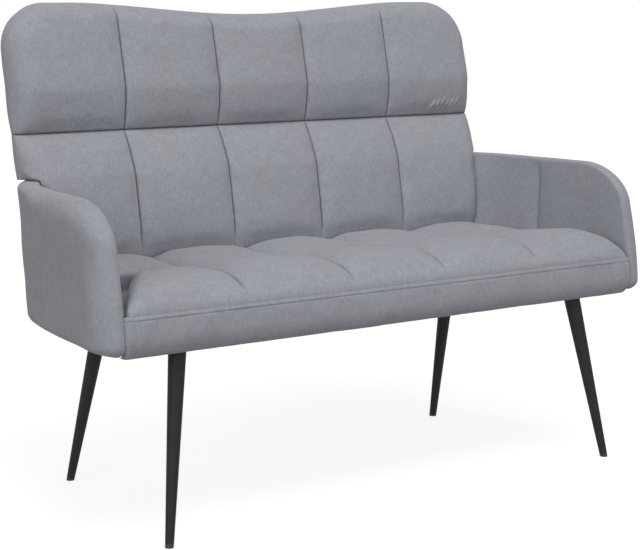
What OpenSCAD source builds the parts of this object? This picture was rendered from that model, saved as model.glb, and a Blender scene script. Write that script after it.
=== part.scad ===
// Two-seat upholstered sofa with a quilted seat and back, padded tub arms and splayed tapered legs.
// Millimetres. X runs along the sofa, Y from front to back, Z up from the floor.

/* [Seat] */
// Width between the arms at the front
seat_front_w = 1154; // [900:2:1600]
// From the middle of the sofa forward to the sewn front edge
seat_front_reach = 267.5; // [220:0.5:340]
// Height of the sewn edge between the top panel and the border
seat_seam_z = 396; // [360:1:440]
// Height of the border band under the sewn edge
border_h = 67; // [50:1:90]
// Rise of the cushion's crests over the sewn edge
seat_crown_h = 56; // [30:1:80]
// Rise of the lengthwise channels at mid cell
seat_channel_h = 41; // [20:1:60]
// Rise of the crosswise channel at mid cell
seat_cross_h = 35; // [15:1:55]
// Rise of the tufts where the channels cross
seat_tuft_h = 24; // [10:1:45]
// Depth of the front row of cells
seat_row_l = 205; // [150:1:260]
// How far the rear cells' crests lie under the front cells'
seat_rear_drop = 13; // [0:1:24]
// Length over which the front edge rounds off
seat_front_round = 105; // [60:1:140]
// Length over which the edge rounds off beside the arms
seat_side_round = 110; // [60:1:140]
// Length over which the rear edge rounds off under the back
seat_rear_round = 42; // [20:1:70]
// How far the front corners draw in from the arms
seat_corner_in = 10; // [0:1:20]

/* [Back] */
// From the middle of the sofa back to the face of the back at the seam height
back_face_y = 128.5; // [80:0.5:160]
// Recline of the back from upright, in degrees
recline = 10.8; // [5:0.1:20]
// How far its sides stand in from the seat's front width, at the seat
back_low_in = 49; // [30:1:70]
// How far they stand in at the top
back_top_in = 35; // [20:1:60]
// Height of the top corners
back_top_z = 900; // [760:1:1000]
// Depth of the saddle in the top edge
back_dip_h = 23; // [0:1:50]
// Half length of the saddle
back_dip_l = 420; // [250:5:480]
// Radius of the top corners
back_corner_r = 90; // [60:1:130]
// Thickness between the front and rear faces
back_t = 72; // [62:0.5:100]
// Spacing of the vertical channels
back_pitch = 209; // [160:1:290]
// Height of the crosswise seam over the arms
back_row_h = 83; // [60:1:110]
// Depth of the crosswise seam behind the channels
back_row_sink = 19; // [8:1:24]
// Height over which the back sinks to the crosswise seam
back_row_reach = 80; // [40:1:90]
// How far the crosswise seam draws in the sides
back_notch_w = 14; // [0:1:20]
// Fullness of the lower cells
back_low_puff = 24; // [8:1:32]
// Fullness of the upper cells
back_top_puff = 22; // [10:1:32]

/* [Arms] */
// Height of the top of the arms
arm_top_z = 579; // [520:1:640]
// Thickness of the arms
arm_t = 45; // [36:1:56]
// Thickness of the inner panel
arm_inner_t = 10; // [7:1:14]
// Angle of the arms toward the middle at the nose, in degrees
arm_toe_in = 6; // [0:0.5:10]
// Straight run behind the nose
arm_straight_l = 150; // [100:1:200]
// Radius of the long side curve
arm_side_r = 1900; // [1600:10:2600]
// Angle where the rear corner starts, in degrees
arm_corner_angle = 11.9; // [11:0.1:18]
// Angle where the rear corner ends behind the back, in degrees
arm_wrap_angle = 74; // [66:0.5:82]
// Outward flare of the arm at its rear top
arm_flare_w = 19; // [0:1:24]
// Backward lean of the nose at the top
arm_nose_lean = 46; // [0:1:60]
// Length of the rounded front top corner
arm_round_l = 98; // [60:1:120]
// Height of the rounded front top corner
arm_round_h = 74; // [45:1:90]
// From the nose back to the sewn channel in the inner panel
arm_channel_l = 255; // [180:1:320]
// Depth of that channel
arm_channel_h = 4; // [1:0.5:6]

/* [Legs] */
// Diameter at the foot
leg_foot_d = 15; // [12:0.5:20]
// Diameter at the top
leg_top_d = 31.5; // [26:0.5:36]
// Wall of the tube
leg_wall = 1.5; // [1:0.1:3]
// How far the tops of the front legs stand in from the front rail's ends
front_leg_in = 112.5; // [90:0.5:150]
// How far the tops of the rear legs stand in from the rear rail's ends
rear_leg_in = 63.5; // [58:0.5:110]
// From the middle forward to the front legs at the top
front_leg_y = 225.5; // [180:0.5:290]
// From the middle back to the rear legs at the top
rear_leg_y = 104.5; // [60:0.5:104.5]
// Spread of the front feet to the side
front_spread_x = 52; // [0:1:80]
// Spread of the front feet to the front
front_spread_y = 52; // [0:1:80]
// Spread of the rear feet to the side
rear_spread_x = 30; // [0:1:60]
// Spread of the rear feet to the back
rear_spread_y = 86; // [0:1:110]
// Height of the glide under each leg
glide_h = 6; // [4:0.5:10]

/* [Timber] */
// Thickness of the rails
rail_t = 22; // [18:1:28]
// Height of the rails' undersides over the hem
rail_lift = 6; // [5:0.5:9]
// Padding between the rails and the cover at the front
border_pad_t = 18; // [10:1:26]
// Width of the boards that carry the legs
bearer_w = 110; // [90:1:140]
// Thickness of those boards
bearer_t = 20; // [16:1:28]
// Width of the back frame's uprights
upright_w = 46; // [36:1:60]
// Thickness of the arms' bent panels
arm_core_t = 11; // [8:1:14]

/* [Webbing] */
// Width of a strap
strap_w = 60; // [40:1:80]
// Thickness of a strap
strap_t = 1.6; // [1:0.1:2.5]
// From the side rails to the outermost straps at the rear
strap_side_l = 71; // [20:1:120]
// Number of straps that run from front to back
strap_count = 7; // [3:2:9]

/* [Fasteners] */
// Diameter of the frame bolts
bolt_d = 8; // [6:1:10]
// Diameter of the leg screws
screw_d = 5; // [4:0.5:6]
// Side of the square leg plates
plate_w = 60; // [52:1:80]
// Thickness of the leg plates
plate_t = 3; // [2:0.5:5]

/* [Hidden] */
$fn = 48;

fabric_colour = [0.56, 0.58, 0.61];
timber_colour = [0.78, 0.64, 0.44];
ply_colour = [0.72, 0.58, 0.40];
strap_colour = [0.20, 0.20, 0.22];
cloth_colour = [0.12, 0.12, 0.13];
steel_colour = [0.08, 0.08, 0.09];
zinc_colour = [0.66, 0.67, 0.69];

// Clearances: soft against its neighbour, timber and steel face to face, bolt in its bore
soft_gap = 0.3;
joint_gap = 0.1;
bore_gap = 0.3;
// Overrun of a cut past the face that it opens
cut_over = 2;

// Shares along one cell between two channels, and along a cell that ends at a rounded edge
cell_shares = [0, 0.07, 0.3, 0.7, 0.93];
seat_cell_shares = [0, 0.07, 0.2, 0.4, 0.6, 0.8, 0.93];
seat_end_shares = [0, 0.006, 0.04, 0.12, 0.28, 0.5, 0.72, 0.9];
back_end_shares = [0, 0.012, 0.05, 0.14, 0.35, 0.38, 0.62, 0.82, 0.93];
seat_front_row_shares = [0, 0.005, 0.03, 0.09, 0.2, 0.36, 0.55, 0.74, 0.9];
seat_rear_row_shares = [0, 0.1, 0.26, 0.45, 0.65, 0.82, 0.93, 0.985, 1];
// Places of the seat's four lengthwise channels as shares of its half width
seat_channel_shares = [-0.585, -0.185, 0.185, 0.585];
// How far along its curve an end cell starts, so that its free end stays full, on the seat and the back
seat_free_share = 0.12;
seat_row_free_share = 0.38;
back_free_share = 0.3;
// Exponents of the curve across a cell: round on the seat, tight on the back and along its seam
round_share = 0.6;
tight_share = 0.38;
// Share of a back cell's fullness that its channels keep, and where along a row the fullness peaks
channel_keep_share = 0.3;
row_peak_share = 0.42;

function lerp(a, b, s) = a + (b - a) * s;
function reversed(v) = [for (i = [len(v) - 1:-1:0]) v[i]];
// Quarter circle from 0 at the edge to 1 at a share of 1
function quarter(s) = s >= 1 ? 1 : s <= 0 ? 0 : sqrt(1 - pow(1 - s, 2));
// Rise between two channels
function pinch(s, share) = pow(max(0, 1 - pow(2 * s - 1, 2)), share);
// Rise across cell k of n, where the first and last cells have one free end
function cell_rise(k, n, s, free, share) =
    pinch(k == 0 ? lerp(free, 1, s) : k == n - 1 ? s * (1 - free) : s, share);

// Grid lines across n cells, each as its cell and its share along that cell
function cell_lines(n, inner, outer) = concat(
    [for (s = outer) [0, s]],
    [for (k = [1:n - 2]) for (s = inner) [k, s]],
    [for (i = [len(outer) - 1:-1:0]) [n - 1, 1 - outer[i]]]);

// Face planes of the back: y at height z, at an offset behind the front face
back_slope = tan(recline);
function back_y(z, offset) = back_face_y + (z - seat_seam_z) * back_slope + offset;

// Plan of the arm's inner wall on the right side: a straight, a long curve and the rear corner
nose_share = 1.015;
nose_y = -nose_share * seat_front_reach;
wall_start = [seat_front_w / 2, nose_y];
function heading(a) = [-sin(a), cos(a)];
function outward(a) = [cos(a), sin(a)];
side_start = wall_start + arm_straight_l * heading(arm_toe_in);
side_centre = side_start - arm_side_r * outward(arm_toe_in);
corner_start = side_centre + arm_side_r * outward(arm_corner_angle);
arm_end_y = back_y(arm_top_z, back_t) - 2 * soft_gap;
arm_corner_r = (arm_end_y - corner_start[1]) / (sin(arm_wrap_angle) - sin(arm_corner_angle));
corner_centre = corner_start - arm_corner_r * outward(arm_corner_angle);
side_l = arm_side_r * (arm_corner_angle - arm_toe_in) * PI / 180;

// Point on the wall at length t from the nose and n outside the inner face
function wall_point(t, n) =
    t < arm_straight_l ? wall_start + t * heading(arm_toe_in) + n * outward(arm_toe_in) :
    t < arm_straight_l + side_l ?
        side_centre + (arm_side_r + n)
            * outward(arm_toe_in + (t - arm_straight_l) / arm_side_r * 180 / PI) :
        corner_centre + (arm_corner_r + n)
            * outward(arm_corner_angle + (t - arm_straight_l - side_l) / arm_corner_r * 180 / PI);
// X of the wall at depth y
function wall_x(y, n) =
    y < side_start[1] + n * sin(arm_toe_in) ?
        wall_start[0] + n * cos(arm_toe_in)
            - (y - wall_start[1] - n * sin(arm_toe_in)) * tan(arm_toe_in) :
    y < side_centre[1] + (arm_side_r + n) * sin(arm_corner_angle) ?
        side_centre[0] + sqrt(pow(arm_side_r + n, 2) - pow(y - side_centre[1], 2)) :
        corner_centre[0] + sqrt(pow(arm_corner_r + n, 2) - pow(y - corner_centre[1], 2));

// Offsets in the back's thickness: the rim's widest line, pocket floor, frame front and rear, outside panel
rim_offset = 0.36 * back_t;
pocket_offset = 0.48 * back_t;
frame_offset = pocket_offset + strap_t + 2 * soft_gap;
frame_rear_offset = frame_offset + rail_t / cos(recline);
panel_offset = frame_rear_offset + soft_gap;

seat_bottom_z = seat_seam_z - border_h;
arm_h = arm_top_z - seat_bottom_z;
arm_depth = back_y(arm_top_z, back_t) - nose_y;
// Outward flare of the arm, nothing at the nose and the seat's hem
function flare(y, z) =
    arm_flare_w * max(0, (y - nose_y) / arm_depth) * max(0, (z - seat_bottom_z) / arm_h);

// Number of a point in a grid with so many rows
function grid_index(i, j, rows) = i * rows + j;
// Two triangles for each cell of a grid of point numbers; each diagonal leaves a corner of the grid free
function grid_faces(index) =
    let (cols = len(index), rows = len(index[0]))
    [for (i = [0:cols - 2]) for (j = [0:rows - 2])
        each (i == 0 && j == rows - 2) || (i == cols - 2 && j == 0) ?
            [[index[i][j], index[i][j + 1], index[i + 1][j]],
             [index[i + 1][j], index[i][j + 1], index[i + 1][j + 1]]] :
            [[index[i][j], index[i + 1][j + 1], index[i + 1][j]],
             [index[i][j], index[i][j + 1], index[i + 1][j + 1]]]];

// Closed solid between two grids of points that share their border
module two_skins(a, b) {
    cols = len(a);
    rows = len(a[0]);
    inner = cols * rows;
    b_index = [for (i = [0:cols - 1]) [for (j = [0:rows - 1])
        i == 0 || j == 0 || i == cols - 1 || j == rows - 1 ?
            grid_index(i, j, rows) : inner + (i - 1) * (rows - 2) + j - 1]];
    points = concat(
        [for (i = [0:cols - 1]) for (j = [0:rows - 1]) a[i][j]],
        [for (i = [1:cols - 2]) for (j = [1:rows - 2]) b[i][j]]);
    a_index = [for (i = [0:cols - 1]) [for (j = [0:rows - 1]) grid_index(i, j, rows)]];
    polyhedron(points, concat(grid_faces(a_index), [for (f = grid_faces(b_index)) reversed(f)]));
}

// Closed solid under one grid whose border lies in a plane, with a flat base from its middle
module skin_on_base(a, middle) {
    cols = len(a);
    rows = len(a[0]);
    border = concat(
        [for (i = [0:cols - 2]) grid_index(i, 0, rows)],
        [for (j = [0:rows - 2]) grid_index(cols - 1, j, rows)],
        [for (i = [cols - 1:-1:1]) grid_index(i, rows - 1, rows)],
        [for (j = [rows - 1:-1:1]) grid_index(0, j, rows)]);
    points = concat([for (i = [0:cols - 1]) for (j = [0:rows - 1]) a[i][j]], [middle]);
    index = [for (i = [0:cols - 1]) [for (j = [0:rows - 1]) grid_index(i, j, rows)]];
    base = [for (k = [0:len(border) - 1]) [cols * rows, border[k], border[(k + 1) % len(border)]]];
    polyhedron(points, concat(grid_faces(index), base));
}

// Extrudes a profile drawn in Y and Z along X, centred
module along_x(length) {
    rotate([90, 0, 90])
        linear_extrude(height = length, center = true)
            children();
}

// Seat cushion: two rows of five cells, with channels that end in tufts
seat_base_z = seat_seam_z + soft_gap;
seat_front_y = -seat_front_reach;
seat_row_y = seat_front_y + seat_row_l;
seat_rear_y = back_face_y - soft_gap;
seat_channel_at = concat([-1], seat_channel_shares, [1]);
seat_columns = cell_lines(5, seat_cell_shares, seat_end_shares);
seat_rows = concat([for (s = seat_front_row_shares) [0, s]], [for (s = seat_rear_row_shares) [1, s]]);

function seat_row_at(r) =
    r[0] == 0 ? lerp(seat_front_y, seat_row_y, r[1]) : lerp(seat_row_y, seat_rear_y, r[1]);
function seat_side_x(y) = wall_x(y, flare(y, seat_seam_z)) - 3 * soft_gap
    - seat_corner_in * (1 - quarter((y - seat_front_y) / seat_front_round));
function seat_rise(c, r, x, y) =
    let (u = cell_rise(c[0], 5, c[1], seat_free_share, round_share),
         v = cell_rise(r[0], 2, r[1], seat_row_free_share, round_share))
    (seat_tuft_h + (seat_cross_h - seat_tuft_h) * u + (seat_channel_h - seat_tuft_h) * v
        + (seat_crown_h - seat_cross_h - seat_channel_h + seat_tuft_h) * u * v - r[0] * v * seat_rear_drop)
        * quarter((y - seat_front_y) / seat_front_round)
        * quarter((seat_side_x(y) - abs(x)) / seat_side_round)
        * sqrt(quarter((seat_rear_y - y) / seat_rear_round));
function seat_point(c, r) =
    let (y = seat_row_at(r),
         x = seat_side_x(y) * lerp(seat_channel_at[c[0]], seat_channel_at[c[0] + 1], c[1]),
         rise = seat_rise(c, r, x, y))
    [x, y + rise * back_slope * max(0, (y - seat_row_y) / (seat_rear_y - seat_row_y)),
        seat_base_z + rise];

module seat_cushion() {
    color(fabric_colour)
        skin_on_base([for (c = seat_columns) [for (r = seat_rows) seat_point(c, r)]],
            [0, (seat_front_y + seat_rear_y) / 2, seat_base_z]);
}

// Seat frame places
rail_bottom_z = seat_bottom_z + rail_lift;
strap_wave = 0.625 * strap_t;
strap_mid_z = seat_seam_z - strap_wave - strap_t / 2;
rail_top_z = strap_mid_z - strap_wave - strap_t / 2 - joint_gap;
rail_h = rail_top_z - rail_bottom_z;
front_rail_y = seat_front_y + border_pad_t;
rail_inner_y = front_rail_y + rail_t;
rear_rail_y = back_y(seat_bottom_z, frame_offset) - 1.15 * rail_t;
side_pad_min = 0.27 * rail_t;
front_rail_half = wall_x(rail_inner_y, 0) - side_pad_min;
rear_rail_half = wall_x(back_y(rail_top_z, frame_offset), 0) - side_pad_min;
side_rail_front = [wall_x(rail_inner_y, 0) - side_pad_min, rail_inner_y + joint_gap];
side_rail_rear = [wall_x(rear_rail_y, 0) - side_pad_min, rear_rail_y - joint_gap];

// Border band at the front: a padded strip that rounds under the rail
border_bulge = 0.075 * border_h;
border_hem_r = 0.19 * border_h;
hem_l = 0.18 * rail_t;
module border_profile(face_y, inner_y) {
    steps = 12;
    polygon(concat(
        [[inner_y, seat_seam_z], [face_y, seat_seam_z]],
        [for (i = [1:steps - 1])
            let (s = i / steps)
            [face_y - border_bulge * pinch(s, round_share),
                lerp(seat_seam_z, seat_bottom_z + border_hem_r, s)]],
        [for (i = [0:steps / 2])
            let (a = 90 * i / (steps / 2))
            [face_y + border_hem_r * (1 - cos(a)), seat_bottom_z + border_hem_r * (1 - sin(a))]],
        [[inner_y + hem_l, seat_bottom_z], [inner_y + hem_l, rail_bottom_z - joint_gap],
            [inner_y, rail_bottom_z - joint_gap]]));
}

// Plan outline between the two arms, from y0 to y1
module between_arms(y0, y1) {
    steps = 10;
    side = [for (i = [0:steps]) let (y = lerp(y0, y1, i / steps)) [wall_x(y, 0) - soft_gap, y]];
    polygon(concat(side, reversed([for (p = side) [-p[0], p[1]]])));
}

module seat_border_front() {
    color(fabric_colour)
        intersection() {
            along_x(seat_front_w)
                border_profile(seat_front_y, front_rail_y - soft_gap);
            translate([0, 0, seat_bottom_z - cut_over])
                linear_extrude(height = border_h + 2 * cut_over)
                    between_arms(nose_y - border_bulge, rail_inner_y);
        }
}

module seat_border_rear() {
    y_low = back_y(seat_bottom_z, panel_offset);
    color(fabric_colour)
        intersection() {
            along_x(seat_front_w)
                polygon([
                    [y_low, seat_bottom_z],
                    [back_y(seat_bottom_z, back_t), seat_bottom_z],
                    [back_y(seat_seam_z, back_t), seat_seam_z],
                    [back_y(seat_seam_z, panel_offset), seat_seam_z]]);
            translate([0, 0, seat_bottom_z - cut_over])
                linear_extrude(height = border_h + 2 * cut_over)
                    between_arms(y_low - cut_over, back_y(seat_seam_z, back_t) + cut_over);
        }
}

// Padding between a side rail and the arm
module side_pad() {
    steps = 12;
    outer = [for (i = [0:steps])
        let (y = lerp(front_rail_y + hem_l, back_y(seat_bottom_z, frame_offset), i / steps))
        [wall_x(y, 0) - 2 * soft_gap, y]];
    color(fabric_colour)
        difference() {
            translate([0, 0, rail_bottom_z])
                linear_extrude(height = seat_seam_z - rail_bottom_z)
                    polygon(concat(outer, [
                        [rear_rail_half + soft_gap, outer[steps][1]],
                        [rear_rail_half + soft_gap, rear_rail_y],
                        [side_rail_rear[0] + soft_gap, rear_rail_y],
                        [side_rail_front[0] + soft_gap, rail_inner_y],
                        [front_rail_half + soft_gap, outer[0][1]]]));
            arm_bolt_bores();
        }
}
module seat_border_left() {
    mirror([1, 0, 0])
        side_pad();
}
module seat_border_right() {
    side_pad();
}

module front_rail() {
    color(timber_colour)
        difference() {
            translate([-front_rail_half, front_rail_y, rail_bottom_z])
                cube([2 * front_rail_half, rail_t, rail_h]);
            leg_screw_pilots();
        }
}

// Rear rail with its rear face bevelled to the recline
module rear_rail() {
    color(timber_colour)
        difference() {
            along_x(2 * rear_rail_half)
                polygon([
                    [rear_rail_y, rail_bottom_z],
                    [back_y(rail_bottom_z, frame_offset) - joint_gap, rail_bottom_z],
                    [back_y(rail_top_z, frame_offset) - joint_gap, rail_top_z],
                    [rear_rail_y, rail_top_z]]);
            back_bolt_bores();
        }
}

module side_rail() {
    rail_line = side_rail_rear - side_rail_front;
    across = rail_t * norm(rail_line) / rail_line[1];
    color(timber_colour)
        difference() {
            translate([0, 0, rail_bottom_z])
                linear_extrude(height = rail_h)
                    polygon([side_rail_front, side_rail_rear,
                        side_rail_rear - [across, 0], side_rail_front - [across, 0]]);
            arm_bolt_bores();
        }
}
module side_rail_left() {
    mirror([1, 0, 0])
        side_rail();
}
module side_rail_right() {
    side_rail();
}

centre_rail_sag = 0.25 * rail_h;
module centre_rail() {
    color(timber_colour)
        translate([-rail_t / 2, rail_inner_y + joint_gap, rail_bottom_z])
            cube([rail_t, rear_rail_y - rail_inner_y - 2 * joint_gap, rail_h - centre_rail_sag]);
}

// Board between the front and rear rails that carries one side's legs
module leg_bearer() {
    y0 = rail_inner_y + joint_gap;
    y1 = rear_rail_y - joint_gap;
    function bearer_x(y) =
        lerp(front_leg_x, rear_leg_x, (y + front_leg_y) / (rear_leg_y + front_leg_y));
    color(timber_colour)
        difference() {
            translate([0, 0, rail_bottom_z])
                linear_extrude(height = bearer_t)
                    polygon([
                        [bearer_x(y0) - bearer_w / 2, y0], [bearer_x(y0) + bearer_w / 2, y0],
                        [bearer_x(y1) + bearer_w / 2, y1], [bearer_x(y1) - bearer_w / 2, y1]]);
            leg_screw_pilots();
        }
}
module leg_bearer_left() {
    mirror([1, 0, 0])
        leg_bearer();
}
module leg_bearer_right() {
    leg_bearer();
}

// Triangular glue blocks in the frame's four corners, over the bearers
block_w = 1.8 * rail_t;
module corner_blocks() {
    across = rail_t * norm(side_rail_rear - side_rail_front) / (side_rail_rear - side_rail_front)[1];
    slope = (side_rail_rear - side_rail_front)[0] / (side_rail_rear - side_rail_front)[1];
    front = side_rail_front - [across + joint_gap, -joint_gap];
    rear = side_rail_rear - [across + joint_gap, joint_gap];
    color(timber_colour)
        for (side = [0, 1])
            mirror([side, 0, 0])
                translate([0, 0, rail_bottom_z + bearer_t + joint_gap])
                    linear_extrude(height = block_w) {
                        polygon([front, front + block_w * [slope, 1], front - [block_w, 0]]);
                        polygon([rear, rear - [block_w, 0], rear - block_w * [slope, 1]]);
                    }
}

// Webbing: each strap passes over and under the straps that it crosses
strap_front_y = front_rail_y + 0.3 * rail_t;
strap_rear_y = back_y(rail_top_z, frame_offset) - 0.3 * rail_t;
cross_count = 3;
cross_pitch = (rear_rail_y - rail_inner_y) / (cross_count + 0.6);
cross_mid_y = (rear_rail_y + rail_inner_y) / 2;
function cross_strap_y(j) = cross_mid_y + (j - (cross_count - 1) / 2) * cross_pitch;
strap_pitch = (2 * (side_rail_rear[0] - rail_t - strap_side_l) - strap_w) / (strap_count - 1);
function long_strap_x(i) = (i - (strap_count - 1) / 2) * strap_pitch;
// Middle line of a strap: ends on the rails, and flat stretches over or under each crossing
function strap_line(start, end, places, first_up) = concat(
    [[start, strap_mid_z - strap_wave], [start + rail_t * 0.7, strap_mid_z - strap_wave]],
    [for (k = [0:len(places) - 1])
        let (lift = ((k + first_up) % 2 == 0 ? 1 : -1) * strap_wave, half = strap_w * 0.56)
        each [[places[k] - half, strap_mid_z + lift], [places[k] + half, strap_mid_z + lift]]],
    [[end - rail_t * 0.7, strap_mid_z - strap_wave], [end, strap_mid_z - strap_wave]]);
module strap(line) {
    polygon(concat(
        [for (p = line) p - [0, strap_t / 2]],
        reversed([for (p = line) p + [0, strap_t / 2]])));
}
module webbing_lengthwise() {
    color(strap_colour)
        for (i = [0:strap_count - 1])
            translate([long_strap_x(i), 0, 0])
                along_x(strap_w)
                    strap(strap_line(strap_front_y, strap_rear_y,
                        [for (j = [0:cross_count - 1]) cross_strap_y(j)], i % 2));
}
module webbing_crosswise() {
    color(strap_colour)
        for (j = [0:cross_count - 1])
            let (y = cross_strap_y(j), end = wall_x(y + strap_w / 2, 0) - side_pad_min - 0.5 * rail_t)
                translate([0, y + strap_w / 2, 0])
                    rotate([90, 0, 0])
                        linear_extrude(height = strap_w)
                            strap(strap_line(-end, end,
                                [for (i = [0:strap_count - 1]) long_strap_x(i)], (j + 1) % 2));
}

// Cloth under the frame, cut out round the leg plates
cloth_t = 0.5 * strap_t;
cloth_z = rail_bottom_z - joint_gap - cloth_t;
module dust_cover() {
    y0 = front_rail_y + hem_l + soft_gap;
    y1 = back_y(seat_bottom_z, panel_offset) - 4 * soft_gap;
    color(cloth_colour)
        difference() {
            translate([0, 0, cloth_z])
                linear_extrude(height = cloth_t)
                    between_arms(y0, y1);
            for (leg = [0:3])
                translate([plate_at(leg)[0], plate_at(leg)[1], cloth_z])
                    linear_extrude(height = 2 * cut_over, center = true)
                        square(plate_w + 4 * soft_gap, center = true);
        }
}

// Back cushion: two rows of five cells, wrapped over a rounded rim and round the frame behind it
back_side_low = seat_front_w / 2 - back_low_in;
back_side_top = seat_front_w / 2 - back_top_in;
back_row_z = arm_top_z + back_row_h;
// Nearness of a height to the crosswise seam: one at the seam, nothing beyond the reach
function seam_near(z, reach) = max(0, 1 - abs(z - back_row_z) / reach);
function beside_arm_x(y, z) = wall_x(y, flare(y, z)) - 8 * soft_gap;
function back_side_x(z) =
    let (x = lerp(back_side_low, back_side_top, min(1, (z - seat_seam_z) / (back_row_z - seat_seam_z)))
        - back_notch_w * pow(seam_near(z, back_row_reach / 2), 1.5))
    z > back_arm_z - soft_gap ? x : min(x, beside_arm_x(back_y(z, rim_offset), z));
function back_dip(x) = back_dip_h * (1 + cos(180 * min(1, abs(x) / back_dip_l))) / 2;
back_channel_x = 1.5 * back_pitch;
back_base_z = seat_seam_z + 4 * soft_gap;
back_cell_z = seat_seam_z + seat_channel_h;
back_columns = cell_lines(5, cell_shares, back_end_shares);
// Depth of the rounding in from the outline, at the front and at the rear
rim_front_l = rim_offset;
rim_rear_l = 1.05 * back_t;

// X of grid line c in a cushion whose side is at the given half width
function back_line_x(c, side) =
    c[0] == 0 ? lerp(-side, -back_channel_x, c[1]) :
    c[0] == 4 ? lerp(back_channel_x, side, c[1]) :
    lerp(-back_channel_x, back_channel_x, (c[0] - 1 + c[1]) / 3);
// Height where grid line c meets the top edge, down round the corner
function back_line_top(c) =
    let (x = back_line_x(c, back_side_top), over = abs(x) - back_side_top + back_corner_r)
    back_top_z - back_dip(x)
        - (over > 0 ? back_corner_r - sqrt(max(0, pow(back_corner_r, 2) - pow(over, 2))) : 0);
// Distance in from the rounded outline
function back_inset(c, z) =
    let (x = back_line_x(c, back_side_top),
         over_x = abs(x) - back_side_top + back_corner_r,
         over_z = z + back_dip(x) - back_top_z + back_corner_r,
         inset = min(back_side_top - abs(x), back_top_z - z - back_dip(x),
            over_x > 0 && over_z > 0 ? back_corner_r - norm([over_x, over_z]) : back_corner_r))
    min(inset, 3 * (z - back_base_z));

// Heights of the grid lines under the crosswise seam, then as shares and distances under the top
back_arm_z = arm_top_z + 4 * soft_gap;
back_low_rows = concat(
    [for (s = [0, 0.2, 1]) back_base_z + s * 0.15 * back_t],
    [for (s = [0, 0.27, 0.63, 1]) lerp(back_cell_z, arm_top_z + soft_gap, s)],
    [back_arm_z],
    [for (s = [0.4, 0.78, 0.95, 1]) lerp(back_arm_z, back_row_z, s)]);
back_top_row_shares = [0.025, 0.12, 0.36, 0.7];
back_rim_row_shares = [0.4, 0.22, 0.07, 0];
function back_rows(c) =
    let (top = back_line_top(c), rim = top - back_rim_row_shares[0] * back_t)
    concat(back_low_rows,
        [for (s = back_top_row_shares) lerp(back_row_z, rim, s)],
        [for (s = back_rim_row_shares) top - s * back_t]);

// Fullness along a row at share s from the crosswise seam
function row_rise(s) = s < row_peak_share ? pinch(s / row_peak_share / 2, tight_share) :
    lerp(1, 0.5, pow((s - row_peak_share) / (1 - row_peak_share), 1.5));
// Fullness in front of the channels' plane
function back_puff(c, z, top) =
    let (u = cell_rise(c[0], 5, c[1], back_free_share, tight_share),
         upper = z > back_row_z,
         s = (z - back_row_z) / ((upper ? top : back_cell_z) - back_row_z))
    z < back_cell_z ? 0 :
        lerp(channel_keep_share, 1, u) * (upper ? back_top_puff : back_low_puff)
            * (upper ? row_rise(s) : pinch(s, tight_share))
        - back_row_sink * pow(seam_near(z, back_row_reach), 1.2);
function beside_arm(c, y, z) =
    let (x = back_line_x(c, back_side_x(z)))
    [z > back_arm_z - soft_gap ? x : sign(x) * min(abs(x), beside_arm_x(y, z)), y, z];
function back_front_point(c, z, top) =
    let (share = quarter(back_inset(c, z) / rim_front_l))
    beside_arm(c, back_y(z, rim_offset) - (rim_offset + back_puff(c, z, top)) * share, z);
pocket_inset = 0.96 * back_end_shares[5] * (back_side_top - back_channel_x);
pocket_top_inset = 0.39 * back_t;
function in_pocket(c, z, top) =
    back_side_top - abs(back_line_x(c, back_side_top)) > pocket_inset && top - z > pocket_top_inset;
function back_rear_point(c, z, top) =
    let (deep = (back_t - rim_offset) * quarter(back_inset(c, z) / rim_rear_l),
         floor_at = pocket_offset - rim_offset)
    beside_arm(c, back_y(z, rim_offset) + (in_pocket(c, z, top) ? min(deep, floor_at) : deep), z);

module back_cushion() {
    tops = [for (c = back_columns) back_line_top(c)];
    n = len(back_columns) - 1;
    front = [for (i = [0:n])
        [for (z = back_rows(back_columns[i])) back_front_point(back_columns[i], z, tops[i])]];
    rear = [for (i = [0:n])
        [for (z = back_rows(back_columns[i])) back_rear_point(back_columns[i], z, tops[i])]];
    color(fabric_colour)
        two_skins(front, rear);
}

// Half width of the pocket behind the cushion, and the heights of its curved top edge
pocket_arm_x = lerp(back_side_x(arm_top_z), back_channel_x, 0.414);
pocket_high_x = lerp(back_side_top, back_channel_x, 0.5);
function pocket_x(z) = lerp(pocket_arm_x, pocket_high_x, (z - arm_top_z) / (back_top_z - arm_top_z));
pocket_top_l = 0.44 * back_t;
function pocket_top(x) = back_top_z - back_dip(x) - pocket_top_l;
// Places a shape drawn in X and distance up the recline, with its rear face at an offset
module up_the_back(offset, thickness) {
    translate([0, back_y(seat_seam_z, offset), seat_seam_z])
        rotate([90 - recline, 0, 0])
            linear_extrude(height = thickness)
                children();
}
// Distance up the recline for a height
function up(z) = (z - seat_seam_z) / cos(recline);

// Padded outside panel that closes the pocket
panel_crown = 0.03 * back_t;
panel_edge_shares = [0, 0.02, 0.08, 0.25, 0.5, 0.75, 0.92, 0.98, 1];
module back_rear_panel() {
    z0 = seat_seam_z + soft_gap;
    base_t = back_t - panel_offset;
    function panel_point(i, j, skin) =
        let (s = panel_edge_shares[i], w = panel_edge_shares[j],
             x_top = lerp(-1, 1, s) * (pocket_x(pocket_top(back_channel_x)) - 2 * soft_gap),
             z = lerp(z0, pocket_top(x_top) - soft_gap, w),
             x = lerp(-1, 1, s) * (pocket_x(z) - 2 * soft_gap),
             crown = quarter(8 * min(s, 1 - s)) * quarter(8 * min(w, 1 - w)))
        [x, back_y(z, panel_offset + skin * (0.3 * base_t + crown * (0.7 * base_t + panel_crown))), z];
    last = len(panel_edge_shares) - 1;
    color(fabric_colour)
        two_skins(
            [for (i = [last:-1:0]) [for (j = [0:last])
                panel_point(i, j, i == 0 || i == last || j == 0 || j == last ? 0 : 1)]],
            [for (i = [last:-1:0]) [for (j = [0:last]) panel_point(i, j, 0)]]);
}

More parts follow.
